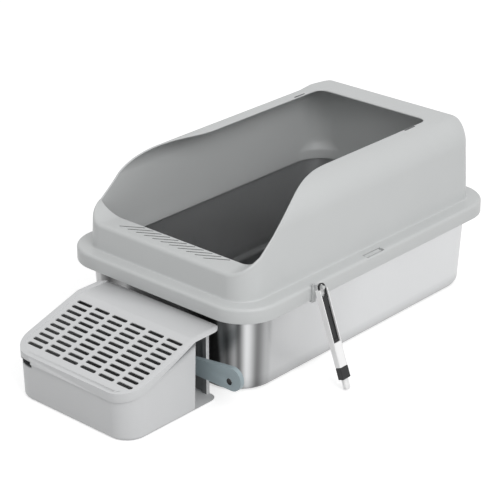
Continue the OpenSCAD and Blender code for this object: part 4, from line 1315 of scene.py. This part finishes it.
class LITTERBOX_OT_scoop(bpy.types.Operator):
    """The slate scoop in the step's pocket"""

    bl_idname = "litterbox.scoop"
    bl_label = "Litter scoop"

    def execute(self, context):
        finish, edges = context.scene.litterbox_finish, context.scene.litterbox_edges
        slate = moulded_plastic("moulded_slate_nylon", finish.slate, roughness=0.4, cloud=0.06)
        # the hole's wall is painted black as shade
        hole_shade = moulded_plastic(
            "black_painted_hole_shade", finish.black, roughness=0.5, cloud=0.05)
        # the handle's flats turn into sides of at least 6 mm
        grip_edge = outline_edge(Vector((0, 1, 0)), 6 * MM)
        scoop = softened("slotted_scoop", "litter_scoop", "scoop", edges.moulded,
                         slate, "slate_plastic", grip_edge, edges.scoop)
        second_material(scoop, hole_shade, hole_faces)
        return {"FINISHED"}


class LITTERBOX_PT_panel(bpy.types.Panel):
    """Lists the pieces in the 3D view's sidebar"""

    bl_label = "Litter Box"
    bl_idname = "LITTERBOX_PT_panel"
    bl_space_type = "VIEW_3D"
    bl_region_type = "UI"
    bl_category = "Litter Box"

    def draw(self, context):
        for step in STEPS:
            self.layout.operator(step.bl_idname, text=step.bl_label)


GROUPS = {
    "litterbox_pan": PanSettings,
    "litterbox_hood": EnclosureSettings,
    "litterbox_brush": BrushSettings,
    "litterbox_edges": EdgeSettings,
    "litterbox_finish": FinishSettings,
    "litterbox_stage": StageSettings,
}
STEPS = (
    LITTERBOX_OT_stage,
    LITTERBOX_OT_pan,
    LITTERBOX_OT_enclosure,
    LITTERBOX_OT_clips,
    LITTERBOX_OT_brush,
    LITTERBOX_OT_step,
    LITTERBOX_OT_scoop,
)


def register():
    """Makes the settings, the operators and the panel known."""
    for cls in (*GROUPS.values(), *STEPS, LITTERBOX_PT_panel):
        bpy.utils.register_class(cls)
    for name, group in GROUPS.items():
        setattr(bpy.types.Scene, name, bpy.props.PointerProperty(type=group))


def unregister():
    """Takes them away again."""
    for name in GROUPS:
        delattr(bpy.types.Scene, name)
    for cls in reversed((*GROUPS.values(), *STEPS, LITTERBOX_PT_panel)):
        bpy.utils.unregister_class(cls)


def main():
    """Registers the add-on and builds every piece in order."""
    register()
    for step in STEPS:
        group, name = step.bl_idname.split(".")
        getattr(getattr(bpy.ops, group), name)()


if __name__ == "__main__":
    main()
